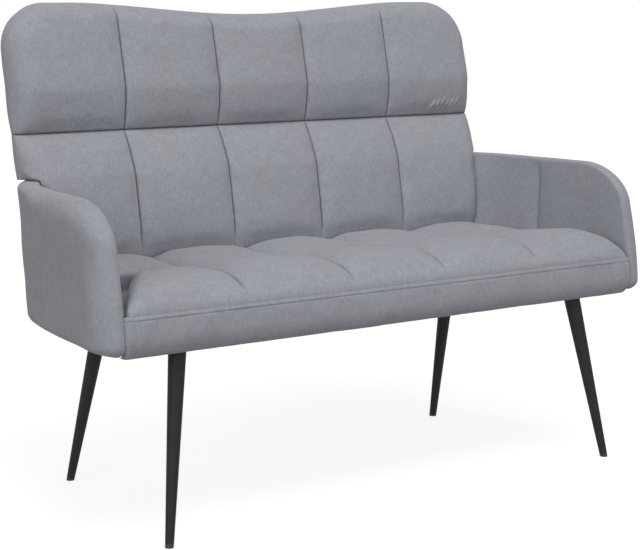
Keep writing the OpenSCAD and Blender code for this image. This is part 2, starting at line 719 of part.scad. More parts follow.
// Timber frame of the back
frame_inset = 4 * soft_gap;
frame_top_z = lerp(back_row_z + upright_w / 2, back_top_z - back_dip_h - pocket_top_l, 0.37);
module back_upright() {
    z0 = rail_bottom_z + 3 * joint_gap;
    z1 = frame_top_z;
    color(timber_colour)
        difference() {
            up_the_back(frame_rear_offset, rail_t)
                polygon([
                    [pocket_x(z0) - frame_inset - upright_w, up(z0)], [pocket_x(z0) - frame_inset, up(z0)],
                    [pocket_x(z1) - frame_inset, up(z1)], [pocket_x(z1) - frame_inset - upright_w, up(z1)]]);
            back_bolt_bores();
        }
}
module back_upright_left() {
    mirror([1, 0, 0])
        back_upright();
}
module back_upright_right() {
    back_upright();
}
module back_top_rail() {
    steps = 24;
    z0 = frame_top_z + joint_gap;
    half = pocket_x(z0) - frame_inset;
    color(timber_colour)
        up_the_back(frame_rear_offset, rail_t)
            polygon(concat([[-half, up(z0)], [half, up(z0)]],
                [for (i = [0:steps])
                    let (x = lerp(half, -half, i / steps))
                    [x, up(pocket_top(x)) - frame_inset]]));
}
// Board between the uprights, from z0 to z1
module back_cross_rail(z0, z1) {
    gap = frame_inset + upright_w + joint_gap;
    color(timber_colour)
        up_the_back(frame_rear_offset, rail_t)
            polygon([
                [-pocket_x(z0) + gap, up(z0)], [pocket_x(z0) - gap, up(z0)],
                [pocket_x(z1) - gap, up(z1)], [-pocket_x(z1) + gap, up(z1)]]);
}
module back_middle_rail() {
    back_cross_rail(back_row_z - upright_w / 2, back_row_z + upright_w / 2);
}
module back_bottom_rail() {
    back_cross_rail(seat_seam_z + joint_gap, seat_seam_z + 1.3 * upright_w);
}

// Straps across the back, tacked to the front of the uprights
module back_webbing() {
    places = [for (s = [0.22, 0.78]) lerp(seat_seam_z + upright_w, back_row_z - upright_w / 2, s)];
    upper = (back_row_z + frame_top_z) / 2;
    color(strap_colour)
        for (z = concat(places, [upper]))
            up_the_back(frame_offset - joint_gap, strap_t)
                polygon([
                    [-pocket_x(z) + 0.4 * upright_w, up(z) - strap_w / 2],
                    [pocket_x(z) - 0.4 * upright_w, up(z) - strap_w / 2],
                    [pocket_x(z) - 0.4 * upright_w, up(z) + strap_w / 2],
                    [-pocket_x(z) + 0.4 * upright_w, up(z) + strap_w / 2]]);
}

// Bolts that hold the uprights to the rear rail, square to the recline
bolt_head_d = 1.9 * bolt_d;
bolt_head_h = 0.5 * bolt_d;
back_bolt_x = pocket_x(seat_bottom_z) - frame_inset - upright_w / 2;
back_bolt_z = [for (s = [0.3, 0.7]) lerp(rail_bottom_z, rail_top_z, s)];
back_bolt_l = 1.35 * rail_t;
module at_back_bolts() {
    for (side = [-1, 1])
        for (z = back_bolt_z)
            translate([side * back_bolt_x, back_y(z, frame_rear_offset), z])
                rotate([90 - recline, 0, 0])
                    children();
}
module back_bolts() {
    color(zinc_colour)
        at_back_bolts() {
            cylinder(h = back_bolt_l, d = bolt_d);
            translate([0, 0, joint_gap])
                cylinder(h = bolt_head_h, d = bolt_head_d);
        }
}
module back_bolt_bores() {
    at_back_bolts() {
        translate([0, 0, -cut_over])
            cylinder(h = back_bolt_l + cut_over + joint_gap, d = bolt_d + 2 * bore_gap);
        translate([0, 0, -cut_over])
            cylinder(h = bolt_head_h + cut_over + 2 * joint_gap, d = bolt_head_d + 2 * bore_gap);
    }
}

// Arms: outline in length t from the nose and height z
arm_soft_share = 0.8;
arm_hem_r = 0.38 * arm_t;
function arm_lean(z) = arm_nose_lean * pow(max(0, (z - seat_bottom_z) / arm_h), 1.6);
function arm_end(z) =
    let (y = back_y(z, back_t) - 2 * soft_gap)
    arm_straight_l + side_l
        + arm_corner_r * (asin((y - corner_centre[1]) / arm_corner_r) - arm_corner_angle) * PI / 180;
// Height of the top edge over the column at length s behind the nose
function arm_top(s) =
    arm_top_z - arm_round_h * (1 - quarter(s / arm_round_l));
// Share of the full thickness at a place: nothing at the outline, one inside the rounded band
function arm_fullness(s, z, rear) =
    let (q = norm([max(0, (arm_round_l - s) / arm_round_l),
                   max(0, (z - arm_top_z + arm_round_h) / arm_round_h)]))
    quarter((1 - q) / arm_soft_share) * quarter((z - seat_bottom_z) / arm_hem_r)
        * quarter(rear / arm_hem_r);

arm_nose_shares = [0, 0.02, 0.08, 0.2, 0.4, 0.7, 1];
arm_side_shares = [0.12, 0.25, 0.38, 0.5, 0.62, 0.72, 0.81, 0.89, 0.945];
arm_rear_shares = [1, 0.3, 0.06, 0];
arm_hem_shares = [0, 0.06, 0.3, 1];
arm_mid_shares = [0.2, 0.5, 0.8];
arm_crown_shares = [0.8, 0.45, 0.2, 0.07, 0.015, 0];
// Places of a column: length behind the leaning nose, and distance from the rear end
function arm_column_s(c, z) =
    let (end = arm_end(z) - arm_lean(z))
    c[0] == 0 ? c[1] * arm_round_l :
    c[0] == 1 ? lerp(arm_round_l, end - arm_hem_r, c[1]) : end - c[1] * arm_hem_r;
arm_columns = concat([for (s = arm_nose_shares) [0, s]], [for (s = arm_side_shares) [1, s]],
    [for (s = arm_rear_shares) [2, s]]);
function arm_rows(s) =
    let (top = arm_top(s), low = seat_bottom_z + arm_hem_r, high = top - 0.8 * arm_round_h)
    concat([for (w = arm_hem_shares) seat_bottom_z + w * arm_hem_r],
        [for (w = arm_mid_shares) lerp(low, high, w)],
        [for (w = arm_crown_shares) top - w * arm_round_h]);
function arm_flare_at(t, z) = flare(wall_point(t, 0)[1], z);
// Upright sheet between the inner and outer pads
function arm_seam_at(t) = arm_inner_t + arm_flare_at(t, arm_top_z);
function arm_place(t, z, n) = let (p = wall_point(t, n)) [p[0], p[1], z];
// Grid over the arm, whose offset is given for each place by what kind of skin it is
function arm_grid(skin) = [for (c = arm_columns)
    let (s0 = arm_column_s(c, arm_top_z), rows = arm_rows(c[0] == 0 ? s0 : arm_round_l))
    [for (j = [0:len(rows) - 1])
        let (z = rows[j], s = arm_column_s(c, z), rear = arm_end(z) - arm_lean(z) - s)
        arm_place(s + arm_lean(z), z, arm_offset(skin, c, j, s, z, rear))]];
arm_row_count = len(arm_hem_shares) + len(arm_mid_shares) + len(arm_crown_shares);
// Rows and columns inside the outer pad's pocket for the bent panel
function in_arm_pocket(c, j) =
    j >= len(arm_hem_shares) - 1 && j <= arm_row_count - 5
    && (c[0] == 1 || (c[0] == 0 && c[1] >= 0.4) || (c[0] == 2 && c[1] >= 1));
function arm_offset(skin, c, j, s, z, rear) =
    let (t = s + arm_lean(z), seam = arm_seam_at(t), flared = arm_flare_at(t, z))
    skin == "outer" ? lerp(seam, arm_t + flared, arm_fullness(s, z, rear)) :
    skin == "pocket" ? seam + (in_arm_pocket(c, j) ? arm_core_t + 9 * soft_gap : 0) :
    skin == "seam" ? seam - 2 * soft_gap :
    lerp(seam - 2 * soft_gap, flared, arm_face(s, z, rear))
        + arm_channel_h * max(0, 1 - abs(t - arm_channel_l) / (3 * arm_channel_h));
// Fullness of the inner face, with a tight edge
function arm_face(s, z, rear) =
    let (edge = arm_inner_t * 0.7,
         q = norm([max(0, (arm_round_l - s) / arm_round_l),
                   max(0, (z - arm_top_z + arm_round_h) / arm_round_h)]))
    quarter((1 - q) * arm_round_h / edge) * quarter((z - seat_bottom_z) / edge) * quarter(rear / edge);

module arm_outer_pad() {
    color(fabric_colour)
        two_skins(arm_grid("outer"), arm_grid("pocket"));
}
module arm_outer_pad_left() {
    mirror([1, 0, 0])
        arm_outer_pad();
}
module arm_outer_pad_right() {
    arm_outer_pad();
}
module arm_inner_pad() {
    color(fabric_colour)
        difference() {
            two_skins(arm_grid("seam"), arm_grid("inner"));
            arm_bolt_bores();
        }
}
module arm_inner_pad_left() {
    mirror([1, 0, 0])
        arm_inner_pad();
}
module arm_inner_pad_right() {
    arm_inner_pad();
}

// Bent plywood panel inside the arm: the wall's plan cut to a side outline
module arm_panel() {
    steps = 16;
    t0 = 0.45 * arm_round_l + arm_lean(arm_top_z);
    t1 = arm_end(seat_bottom_z) - 1.3 * arm_hem_r;
    z0 = seat_bottom_z + 1.1 * arm_hem_r;
    z1 = arm_top_z - 0.75 * arm_round_h;
    function face(t, n) = wall_point(t, arm_seam_at(t) + 2 * soft_gap + n);
    plan = [for (i = [0:steps]) lerp(t0, t1, i / steps)];
    color(ply_colour)
        difference() {
            translate([0, 0, z0])
                linear_extrude(height = z1 - z0)
                    polygon(concat(
                        [for (t = plan) face(t, 0)],
                        reversed([for (t = plan) face(t, arm_core_t)])));
            arm_bolt_bores();
        }
}
module arm_panel_left() {
    mirror([1, 0, 0])
        arm_panel();
}
module arm_panel_right() {
    arm_panel();
}

// Bolts from inside the seat frame into the arm panels
arm_bolt_z = lerp(rail_bottom_z, rail_top_z, 0.55);
arm_bolt_y = [for (s = [0.2, 0.8]) lerp(rail_inner_y, rear_rail_y, s)];
function side_rail_x(y) = lerp(side_rail_front[0], side_rail_rear[0],
    (y - side_rail_front[1]) / (side_rail_rear[1] - side_rail_front[1]));
arm_bolt_seat = 1.3 * rail_t;
function arm_bolt_l(y) =
    wall_x(y, arm_inner_t + flare(y, arm_top_z) + 0.8 * arm_core_t) - side_rail_x(y) + arm_bolt_seat;
module arm_bolts() {
    color(zinc_colour)
        for (side = [0, 1])
            mirror([side, 0, 0])
                for (y = arm_bolt_y)
                    translate([side_rail_x(y) - arm_bolt_seat, y, arm_bolt_z])
                        rotate([0, 90, 0]) {
                            cylinder(h = arm_bolt_l(y), d = bolt_d);
                            cylinder(h = bolt_head_h, d = bolt_head_d);
                        }
}
module arm_bolt_bores() {
    for (y = arm_bolt_y)
        translate([side_rail_x(y) - arm_bolt_seat - cut_over, y, arm_bolt_z])
            rotate([0, 90, 0])
                cylinder(h = arm_bolt_l(y) + cut_over + joint_gap, d = bolt_d + 2 * bore_gap);
}

// Legs: side, and places of the top and the foot
front_leg_x = front_rail_half - front_leg_in;
rear_leg_x = rear_rail_half - rear_leg_in;
leg_side = [-1, 1, -1, 1];
leg_is_front = [true, true, false, false];
plate_z = rail_bottom_z - joint_gap - plate_t;
leg_top_z = plate_z - joint_gap;
function leg_top_at(leg) = leg_is_front[leg] ?
    [leg_side[leg] * front_leg_x, -front_leg_y, leg_top_z] :
    [leg_side[leg] * rear_leg_x, rear_leg_y, leg_top_z];
function leg_foot_at(leg) = leg_is_front[leg] ?
    [leg_side[leg] * (front_leg_x + front_spread_x), -front_leg_y - front_spread_y, 0] :
    [leg_side[leg] * (rear_leg_x + rear_spread_x), rear_leg_y + rear_spread_y, 0];
front_plate_y = front_rail_y + hem_l + plate_w / 2 + 2 * soft_gap;
rear_plate_y = rear_rail_y - plate_w / 2;
function plate_at(leg) = leg_is_front[leg] ?
    [leg_side[leg] * front_leg_x, front_plate_y, plate_z] :
    [leg_side[leg] * rear_leg_x, rear_plate_y, plate_z];

// Turns a shape that stands along Z onto a leg's axis, with its start at the foot
module along_leg(leg) {
    v = leg_top_at(leg) - leg_foot_at(leg);
    translate(leg_foot_at(leg))
        rotate([0, acos(v[2] / norm(v)), atan2(v[1], v[0])])
            rotate([0, 0, 90])
                children();
}
// Keeps what lies between two heights
module level_slab(z0, z1) {
    reach = seat_front_w;
    intersection() {
        children();
        translate([-reach, -reach, z0])
            cube([2 * reach, 2 * reach, z1 - z0]);
    }
}
leg_overrun = leg_top_d;
function leg_l(leg) = norm(leg_top_at(leg) - leg_foot_at(leg));
leg_flare = (leg_top_d - leg_foot_d) / 2 / leg_top_z;
// Tapered round bar on a leg's axis between two distances from the foot, thinner by an inset
module leg_cone(d0, d1, inset) {
    translate([0, 0, d0])
        cylinder(h = d1 - d0, r1 = leg_foot_d / 2 - inset + leg_flare * d0,
            r2 = leg_foot_d / 2 - inset + leg_flare * d1);
}
module leg(leg) {
    end = leg_l(leg) + leg_overrun;
    color(steel_colour)
        level_slab(0, leg_top_z)
            along_leg(leg)
                difference() {
                    leg_cone(glide_h + joint_gap, end, 0);
                    leg_cone(0, end + cut_over, leg_wall);
                }
}
module leg_front_left() {
    leg(0);
}
module leg_front_right() {
    leg(1);
}
module leg_rear_left() {
    leg(2);
}
module leg_rear_right() {
    leg(3);
}

// Plates, with a screw in each corner
screw_share = 0.36;
screw_l = 0.85 * bearer_t;
screw_head_d = 1.8 * screw_d;
screw_head_h = 0.4 * screw_d;
module at_leg_screws(leg) {
    for (sx = [-1, 1])
        for (sy = [-1, 1])
            translate(plate_at(leg) + [sx * screw_share * plate_w, sy * screw_share * plate_w, 0])
                children();
}
module leg_plate(leg) {
    color(steel_colour)
        difference() {
            translate(plate_at(leg) - [plate_w / 2, plate_w / 2, 0])
                cube([plate_w, plate_w, plate_t]);
            at_leg_screws(leg)
                translate([0, 0, -cut_over])
                    cylinder(h = plate_t + 2 * cut_over, d = screw_d + 2 * bore_gap);
        }
}
module leg_plate_front_left() {
    leg_plate(0);
}
module leg_plate_front_right() {
    leg_plate(1);
}
module leg_plate_rear_left() {
    leg_plate(2);
}
module leg_plate_rear_right() {
    leg_plate(3);
}
module leg_screws() {
    color(steel_colour)
        for (leg = [0:3])
            at_leg_screws(leg) {
                cylinder(h = plate_t + screw_l, d = screw_d);
                translate([0, 0, -screw_head_h])
                    cylinder(h = screw_head_h, d = screw_head_d);
            }
}
module leg_screw_pilots() {
    for (leg = [0:3])
        at_leg_screws(leg)
            cylinder(h = plate_t + screw_l + joint_gap, d = screw_d + 2 * joint_gap);
}

// Glides: a foot with a stem up the tube, cut flat on the floor
stem_l = 4 * glide_h;
module foot_glides() {
    color(cloth_colour)
        for (leg = [0:3])
            level_slab(0, 2 * stem_l)
                along_leg(leg) {
                    leg_cone(-leg_overrun, glide_h, 0);
                    translate([0, 0, glide_h / 2])
                        cylinder(h = stem_l, r = leg_foot_d / 2 - leg_wall - joint_gap);
                }
}

seat_cushion();
seat_border_front();
seat_border_rear();
seat_border_left();
seat_border_right();
front_rail();
rear_rail();
side_rail_left();
side_rail_right();
centre_rail();
leg_bearer_left();
leg_bearer_right();
corner_blocks();
webbing_lengthwise();
webbing_crosswise();
dust_cover();
back_cushion();
back_rear_panel();
back_upright_left();
back_upright_right();
back_top_rail();
back_middle_rail();
back_bottom_rail();
back_webbing();
back_bolts();
arm_outer_pad_left();
arm_outer_pad_right();
arm_inner_pad_left();
arm_inner_pad_right();
arm_panel_left();
arm_panel_right();
arm_bolts();
leg_front_left();
leg_front_right();
leg_rear_left();
leg_rear_right();
leg_plate_front_left();
leg_plate_front_right();
leg_plate_rear_left();
leg_plate_rear_right();
leg_screws();
foot_glides();
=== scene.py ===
import math

import bpy
import numpy as np
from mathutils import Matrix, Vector


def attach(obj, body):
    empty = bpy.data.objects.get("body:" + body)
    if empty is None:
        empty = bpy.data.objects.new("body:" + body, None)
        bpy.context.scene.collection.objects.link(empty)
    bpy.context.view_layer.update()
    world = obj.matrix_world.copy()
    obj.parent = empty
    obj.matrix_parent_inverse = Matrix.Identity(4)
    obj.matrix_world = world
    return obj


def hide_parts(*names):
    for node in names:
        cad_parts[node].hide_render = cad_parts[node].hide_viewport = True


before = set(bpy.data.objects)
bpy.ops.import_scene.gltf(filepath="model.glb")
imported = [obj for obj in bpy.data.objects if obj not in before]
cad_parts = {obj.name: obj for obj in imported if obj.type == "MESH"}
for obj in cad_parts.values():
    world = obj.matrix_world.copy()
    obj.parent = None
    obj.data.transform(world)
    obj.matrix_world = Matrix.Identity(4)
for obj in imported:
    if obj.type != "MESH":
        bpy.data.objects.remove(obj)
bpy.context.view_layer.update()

# Sizes of the sofa in metres, as in the CAD model
SEAT_W, SEAT_REACH, SEAM_Z, BORDER_H = 1.154, 0.2675, 0.396, 0.067
SEAT_CROWN, SEAT_CHANNEL, SEAT_CROSS, SEAT_TUFT = 0.056, 0.041, 0.035, 0.024
SEAT_ROW_L, SEAT_DROP, FRONT_ROUND, SIDE_ROUND, REAR_ROUND = 0.205, 0.013, 0.105, 0.110, 0.042
CORNER_IN = 0.010
BACK_Y, RECLINE, BACK_LOW, BACK_TOP, BACK_TOP_Z = 0.1285, math.radians(10.8), 0.528, 0.542, 0.900
DIP_H, DIP_L, CORNER_R, BACK_T, PITCH = 0.023, 0.420, 0.090, 0.072, 0.209
ROW_Z, ROW_SINK, ROW_REACH, LOW_PUFF, TOP_PUFF = 0.662, 0.019, 0.080, 0.024, 0.022
NOTCH_W, SIDE_ROLL, TOP_ROLL = 0.003, 0.045, 0.030
ARM_Z, ARM_T, ARM_IN, TOE_IN, ARM_STRAIGHT = 0.579, 0.045, 0.010, math.radians(6), 0.150
SIDE_R, CORNER_A, WRAP_A, FLARE = 1.9, math.radians(11.9), math.radians(74), 0.019
LEAN, ROUND_L, ROUND_H, ARM_CHANNEL = 0.046, 0.098, 0.074, 0.255
RAIL_T, RAIL_LIFT, PAD_T, STRAP_W, STRAP_T, CORE_T = 0.022, 0.006, 0.018, 0.060, 0.0016, 0.011
PLATE_W, FRONT_LEG_IN, REAR_LEG_IN, UPRIGHT_W = 0.060, 0.1125, 0.0635, 0.046
GAP, HAIR = 0.0003, 0.0001
SEAT_CHANNELS = [-1, -0.585, -0.185, 0.185, 0.585, 1]
CELLS = len(SEAT_CHANNELS) - 1
LAST = CELLS - 1


# Curves shared with the CAD model
def lerp(a, b, s):
    return a + (b - a) * s


def quarter(s):
    return np.sqrt(1 - (1 - np.clip(s, 0, 1)) ** 2)


def pinch(s, power):
    return np.maximum(0, 1 - (2 * s - 1) ** 2) ** power


# Rise from 0 to 1 over a length, fall off from a line, and a bump about it
def ramp(value, length):
    return np.clip(value / length, 0, 1)


def fade(away, reach):
    return np.exp(-away / reach)


def bell(away, reach):
    return np.exp(-(away / reach) ** 2)


def boxy(s, power):
    return (1 - (1 - np.clip(s, 0, 1)) ** power) ** (1 / power)


def cell_rise(k, s, free, power):
    return pinch(np.where(k == 0, lerp(free, 1, s), np.where(k == LAST, s * (1 - free), s)), power)


# Shares that leave 0 fast and reach 1 slowly, and the other way round
def eased(s):
    return np.sin(np.pi / 2 * s)


def late(s):
    return 1 - np.cos(np.pi / 2 * s)


# Even shares from 0 to 1, and the same without the 0
def even(count):
    return np.arange(count + 1) / count


def steps(count):
    return even(count)[1:]


# Shares from 0 to 1 that crowd toward both ends
def crowded(count):
    return 0.5 - 0.5 * np.cos(np.pi * np.linspace(0, 1, count + 1))


SLOPE = math.tan(RECLINE)


def back_y(z, offset):
    return BACK_Y + (z - SEAM_Z) * SLOPE + offset


NOSE_Y = -1.015 * SEAT_REACH
WALL = np.array([SEAT_W / 2, NOSE_Y])


def heading(a):
    return np.array([-math.sin(a), math.cos(a)])


def outward(a):
    return np.array([math.cos(a), math.sin(a)])


SIDE_START = WALL + ARM_STRAIGHT * heading(TOE_IN)
SIDE_C = SIDE_START - SIDE_R * outward(TOE_IN)
CORNER_START = SIDE_C + SIDE_R * outward(CORNER_A)
ARM_CORNER_R = (back_y(ARM_Z, BACK_T) - 2 * GAP - CORNER_START[1]) / (math.sin(WRAP_A) - math.sin(CORNER_A))
CORNER_C = CORNER_START - ARM_CORNER_R * outward(CORNER_A)
SIDE_L = SIDE_R * (CORNER_A - TOE_IN)


# Plan of the arm's inner wall on the right: place at length t and offset n, and x at depth y
def wall_point(t, n):
    t, n = np.broadcast_arrays(np.asarray(t, float), np.asarray(n, float))
    a1 = TOE_IN + (t - ARM_STRAIGHT) / SIDE_R
    a2 = CORNER_A + (t - ARM_STRAIGHT - SIDE_L) / ARM_CORNER_R
    straight, side = t < ARM_STRAIGHT, t < ARM_STRAIGHT + SIDE_L
    x = np.where(straight, WALL[0] - t * math.sin(TOE_IN) + n * math.cos(TOE_IN),
                 np.where(side, SIDE_C[0] + (SIDE_R + n) * np.cos(a1),
                          CORNER_C[0] + (ARM_CORNER_R + n) * np.cos(a2)))
    y = np.where(straight, WALL[1] + t * math.cos(TOE_IN) + n * math.sin(TOE_IN),
                 np.where(side, SIDE_C[1] + (SIDE_R + n) * np.sin(a1),
                          CORNER_C[1] + (ARM_CORNER_R + n) * np.sin(a2)))
    return x, y


def wall_x(y, n):
    y, n = np.broadcast_arrays(np.asarray(y, float), np.asarray(n, float))
    x0 = WALL[0] + n * math.cos(TOE_IN) - (y - WALL[1] - n * math.sin(TOE_IN)) * math.tan(TOE_IN)
    x1 = SIDE_C[0] + np.sqrt(np.maximum(0, (SIDE_R + n) ** 2 - (y - SIDE_C[1]) ** 2))
    x2 = CORNER_C[0] + np.sqrt(np.maximum(0, (ARM_CORNER_R + n) ** 2 - (y - CORNER_C[1]) ** 2))
    return np.where(y < SIDE_START[1] + n * math.sin(TOE_IN), x0,
                    np.where(y < SIDE_C[1] + (SIDE_R + n) * math.sin(CORNER_A), x1, x2))


BOTTOM_Z = SEAM_Z - BORDER_H
ARM_H = ARM_Z - BOTTOM_Z
ARM_DEPTH = back_y(ARM_Z, BACK_T) - NOSE_Y
RIM, POCKET = 0.36 * BACK_T, 0.48 * BACK_T
FRAME_OFF = POCKET + STRAP_T + 2 * GAP
PANEL_OFF = FRAME_OFF + RAIL_T / math.cos(RECLINE) + GAP


def flare(y, z):
    return FLARE * np.maximum(0, (y - NOSE_Y) / ARM_DEPTH) * np.maximum(0, (z - BOTTOM_Z) / ARM_H)


# Smooth unevenness over points from a fixed seed, about one in size
def waves(p, size, seed, count=16):
    rng = np.random.default_rng(seed)
    d = rng.normal(size=(count, 3))
    d *= (2 * np.pi / size * rng.uniform(0.6, 1.7, count) / np.linalg.norm(d, axis=1))[:, None]
    phase = rng.uniform(0, 2 * np.pi, count)
    return np.sin(p @ d.T + phase).sum(-1) / math.sqrt(count / 2)


# Meshes from grids of points
def quads(i):
    return np.stack([i[:-1, :-1], i[1:, :-1], i[1:, 1:], i[:-1, 1:]], -1).reshape(-1, 4)


def grid_uv(p):
    u = np.concatenate([[0], np.cumsum(np.linalg.norm(np.diff(p, axis=0), axis=2).mean(1))])
    v = np.concatenate([[0], np.cumsum(np.linalg.norm(np.diff(p, axis=1), axis=2).mean(0))])
    return np.stack(np.broadcast_arrays(u[:, None], v), -1)


def two_skins(a, b, seam=None, sharp=True):
    m, n = a.shape[:2]
    ia = np.arange(m * n).reshape(m, n)
    ib = ia.copy()
    ib[1:-1, 1:-1] = m * n + np.arange((m - 2) * (n - 2)).reshape(m - 2, n - 2)
    verts = np.concatenate([a.reshape(-1, 3), b[1:-1, 1:-1].reshape(-1, 3)])
    uv = grid_uv(a)
    uv = np.concatenate([uv.reshape(-1, 2), uv[1:-1, 1:-1].reshape(-1, 2)])
    # The first skin carries painted shade per point: darkening laid in creases, grooves, crevices and
    # hollows
    dark = np.zeros(len(verts))
    if seam is not None:
        dark[:m * n] = seam.reshape(-1)
    rim = np.zeros((m, n), bool)
    rim[[0, -1], :] = rim[:, [0, -1]] = sharp
    rim = np.concatenate([rim.reshape(-1), np.zeros(len(verts) - m * n, bool)])
    return verts, np.concatenate([quads(ia), quads(ib)[:, ::-1]]), uv, dark, rim


# The same skins turned inside out, and their mirror image
def flipped(parts):
    return (parts[0], parts[1][:, ::-1]) + parts[2:]


def mirrored(parts):
    return (parts[0] * [-1, 1, 1],) + flipped(parts)[1:]


def joined(several):
    starts = np.cumsum([0] + [len(made[0]) for made in several])
    faces = np.concatenate([made[1] + start for made, start in zip(several, starts)])
    verts, uv, dark = (np.concatenate([made[i] for made in several]) for i in (0, 2, 3))
    return verts, faces, uv, dark, np.zeros(len(verts), bool)


def placed(name, data):
    obj = bpy.data.objects.new(name, data)
    bpy.context.scene.collection.objects.link(obj)
    return obj


# A camera or lamp at a place, looking along a direction
def aimed(obj, place, direction):
    obj.location = place
    obj.rotation_mode = "QUATERNION"
    obj.rotation_quaternion = direction.to_track_quat("-Z", "Y")


def piece(name, parts, material, replaces=()):
    verts, faces, uv, dark, rim = parts
    mesh = bpy.data.meshes.new(name)
    mesh.from_pydata(verts.tolist(), [], faces.tolist())
    layer = mesh.uv_layers.new(name="cloth")
    loops = np.empty(len(mesh.loops), np.int32)
    mesh.loops.foreach_get("vertex_index", loops)
    layer.data.foreach_set("uv", uv[loops].astype(np.float32).ravel())
    # Painted shade per point, which the cover material darkens its colour by
    mesh.attributes.new("seam", "FLOAT", "POINT").data.foreach_set("value", dark.astype(np.float32))
    mesh.polygons.foreach_set("use_smooth", [True] * len(mesh.polygons))
    ends = np.empty(len(mesh.edges) * 2, np.int32)
    mesh.edges.foreach_get("vertices", ends)
    mesh.edges.foreach_set("use_edge_sharp", rim[ends.reshape(-1, 2)].all(1))
    mesh.materials.append(material)
    mesh.update()
    obj = placed(name, mesh)
    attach(obj, "root")
    if replaces:
        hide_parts(*replaces)
    return obj


# A padded piece in the cover fabric, in place of a CAD node
def covered(name, parts, replaced):
    piece(name, parts, COVER, [replaced])


CLOTH_FRAMES = 20


# Cloth simulation of a quilted skin on an even grid: how far each point swells from its sewn lines
def cloth_shift(p, pinned, pressure, slack, cap):
    scene = bpy.context.scene
    m, n = p.shape[:2]
    mesh = bpy.data.meshes.new("swell")
    mesh.from_pydata(p.reshape(-1, 3).tolist(), [], quads(np.arange(m * n).reshape(m, n)).tolist())
    obj = placed("swell", mesh)
    group = obj.vertex_groups.new(name="sewn")
    group.add([int(i) for i in np.nonzero(pinned.reshape(-1))[0]], 1.0, "REPLACE")
    mod = obj.modifiers.new("Cloth", "CLOTH")
    s = mod.settings
    s.quality = 6
    s.mass = 0.25
    s.tension_stiffness = s.compression_stiffness = 18
    s.shear_stiffness = 6
    s.bending_stiffness = 0.6
    s.air_damping = 4
    s.vertex_group_mass = "sewn"
    s.use_pressure = True
    s.uniform_pressure_force = pressure
    s.shrink_min = -slack
    s.effector_weights.gravity = 0
    mod.collision_settings.use_collision = False
    mod.collision_settings.use_self_collision = False
    mod.point_cache.frame_start, mod.point_cache.frame_end = 1, CLOTH_FRAMES
    for f in range(1, CLOTH_FRAMES + 1):
        scene.frame_set(f)
    shown = obj.evaluated_get(bpy.context.evaluated_depsgraph_get())
    out = np.empty(m * n * 3, np.float32)
    shown.data.vertices.foreach_get("co", out)
    bpy.data.objects.remove(obj)
    scene.frame_set(1)
    shift = out.reshape(m, n, 3) - p
    size = np.linalg.norm(shift, axis=2, keepdims=True)
    print("cloth moved", round(float(size.max()) * 1000, 2), "mm, mean", round(float(size.mean()) * 1000, 2))
    return shift * cap * np.tanh(size / cap) / np.maximum(size, 1e-9)


# A grid of values at even places u0, v0 read at the places u, v
def resampled(grid, u0, v0, u, v):
    i = np.clip(np.searchsorted(u0, u, side="right") - 1, 0, len(u0) - 2)
    j = np.clip(np.searchsorted(v0, v, side="right") - 1, 0, len(v0) - 2)
    fu = ((u - u0[i]) / (u0[i + 1] - u0[i]))[..., None]
    fv = ((v - v0[j]) / (v0[j + 1] - v0[j]))[..., None]
    return lerp(lerp(grid[i, j], grid[i + 1, j], fu), lerp(grid[i, j + 1], grid[i + 1, j + 1], fu), fv)


# Node materials
def shader(name):
    mat = bpy.data.materials.new(name)
    mat.use_nodes = True
    tree = mat.node_tree
    tree.nodes.clear()
    out = tree.nodes.new("ShaderNodeOutputMaterial")
    bsdf = tree.nodes.new("ShaderNodeBsdfPrincipled")
    tree.links.new(bsdf.outputs[0], out.inputs[0])
    return mat, tree, bsdf


# Other nodes' outputs, or plain values, for a node's inputs
def feed(tree, made, ins):
    for key, value in ins.items():
        if isinstance(value, bpy.types.NodeSocket):
            tree.links.new(value, made.inputs[key])
        else:
            made.inputs[key].default_value = value


def node(tree, kind, ins=(), **props):
    made = tree.nodes.new("ShaderNode" + kind)
    for key, value in props.items():
        setattr(made, key, value)
    feed(tree, made, dict(ins))
    return made


def maths(tree, op, a, b=0.0):
    return node(tree, "Math", {0: a, 1: b}, operation=op).outputs[0]


def object_place(tree):
    return node(tree, "TexCoord").outputs["Object"]


# Weighted sum of node values
def summed(tree, parts):
    total = 0.0
    for value, weight in parts:
        total = maths(tree, "ADD", total, maths(tree, "MULTIPLY", value, weight))
    return total


def mixed(tree, a, b, factor, blend="MIX"):
    return node(tree, "Mix", {0: factor, 6: a, 7: b}, data_type="RGBA", blend_type=blend).outputs[2]


def noise(tree, vector, scale, detail, rough):
    made = node(tree, "TexNoise", {"Vector": vector, "Scale": scale, "Detail": detail, "Roughness": rough})
    return made.outputs[0]


def scaled(tree, vector, x, y, z=1.0):
    return node(tree, "Mapping", {"Vector": vector, "Scale": (x, y, z)}).outputs[0]


# Noise over a place scaled along each axis
def drawn_noise(tree, vector, scale, detail, rough):
    return noise(tree, scaled(tree, vector, *scale), 1.0, detail, rough)


def ranged(tree, value, lo, hi, to_lo, to_hi):
    return node(tree, "MapRange", {0: value, 1: lo, 2: hi, 3: to_lo, 4: to_hi}).outputs[0]
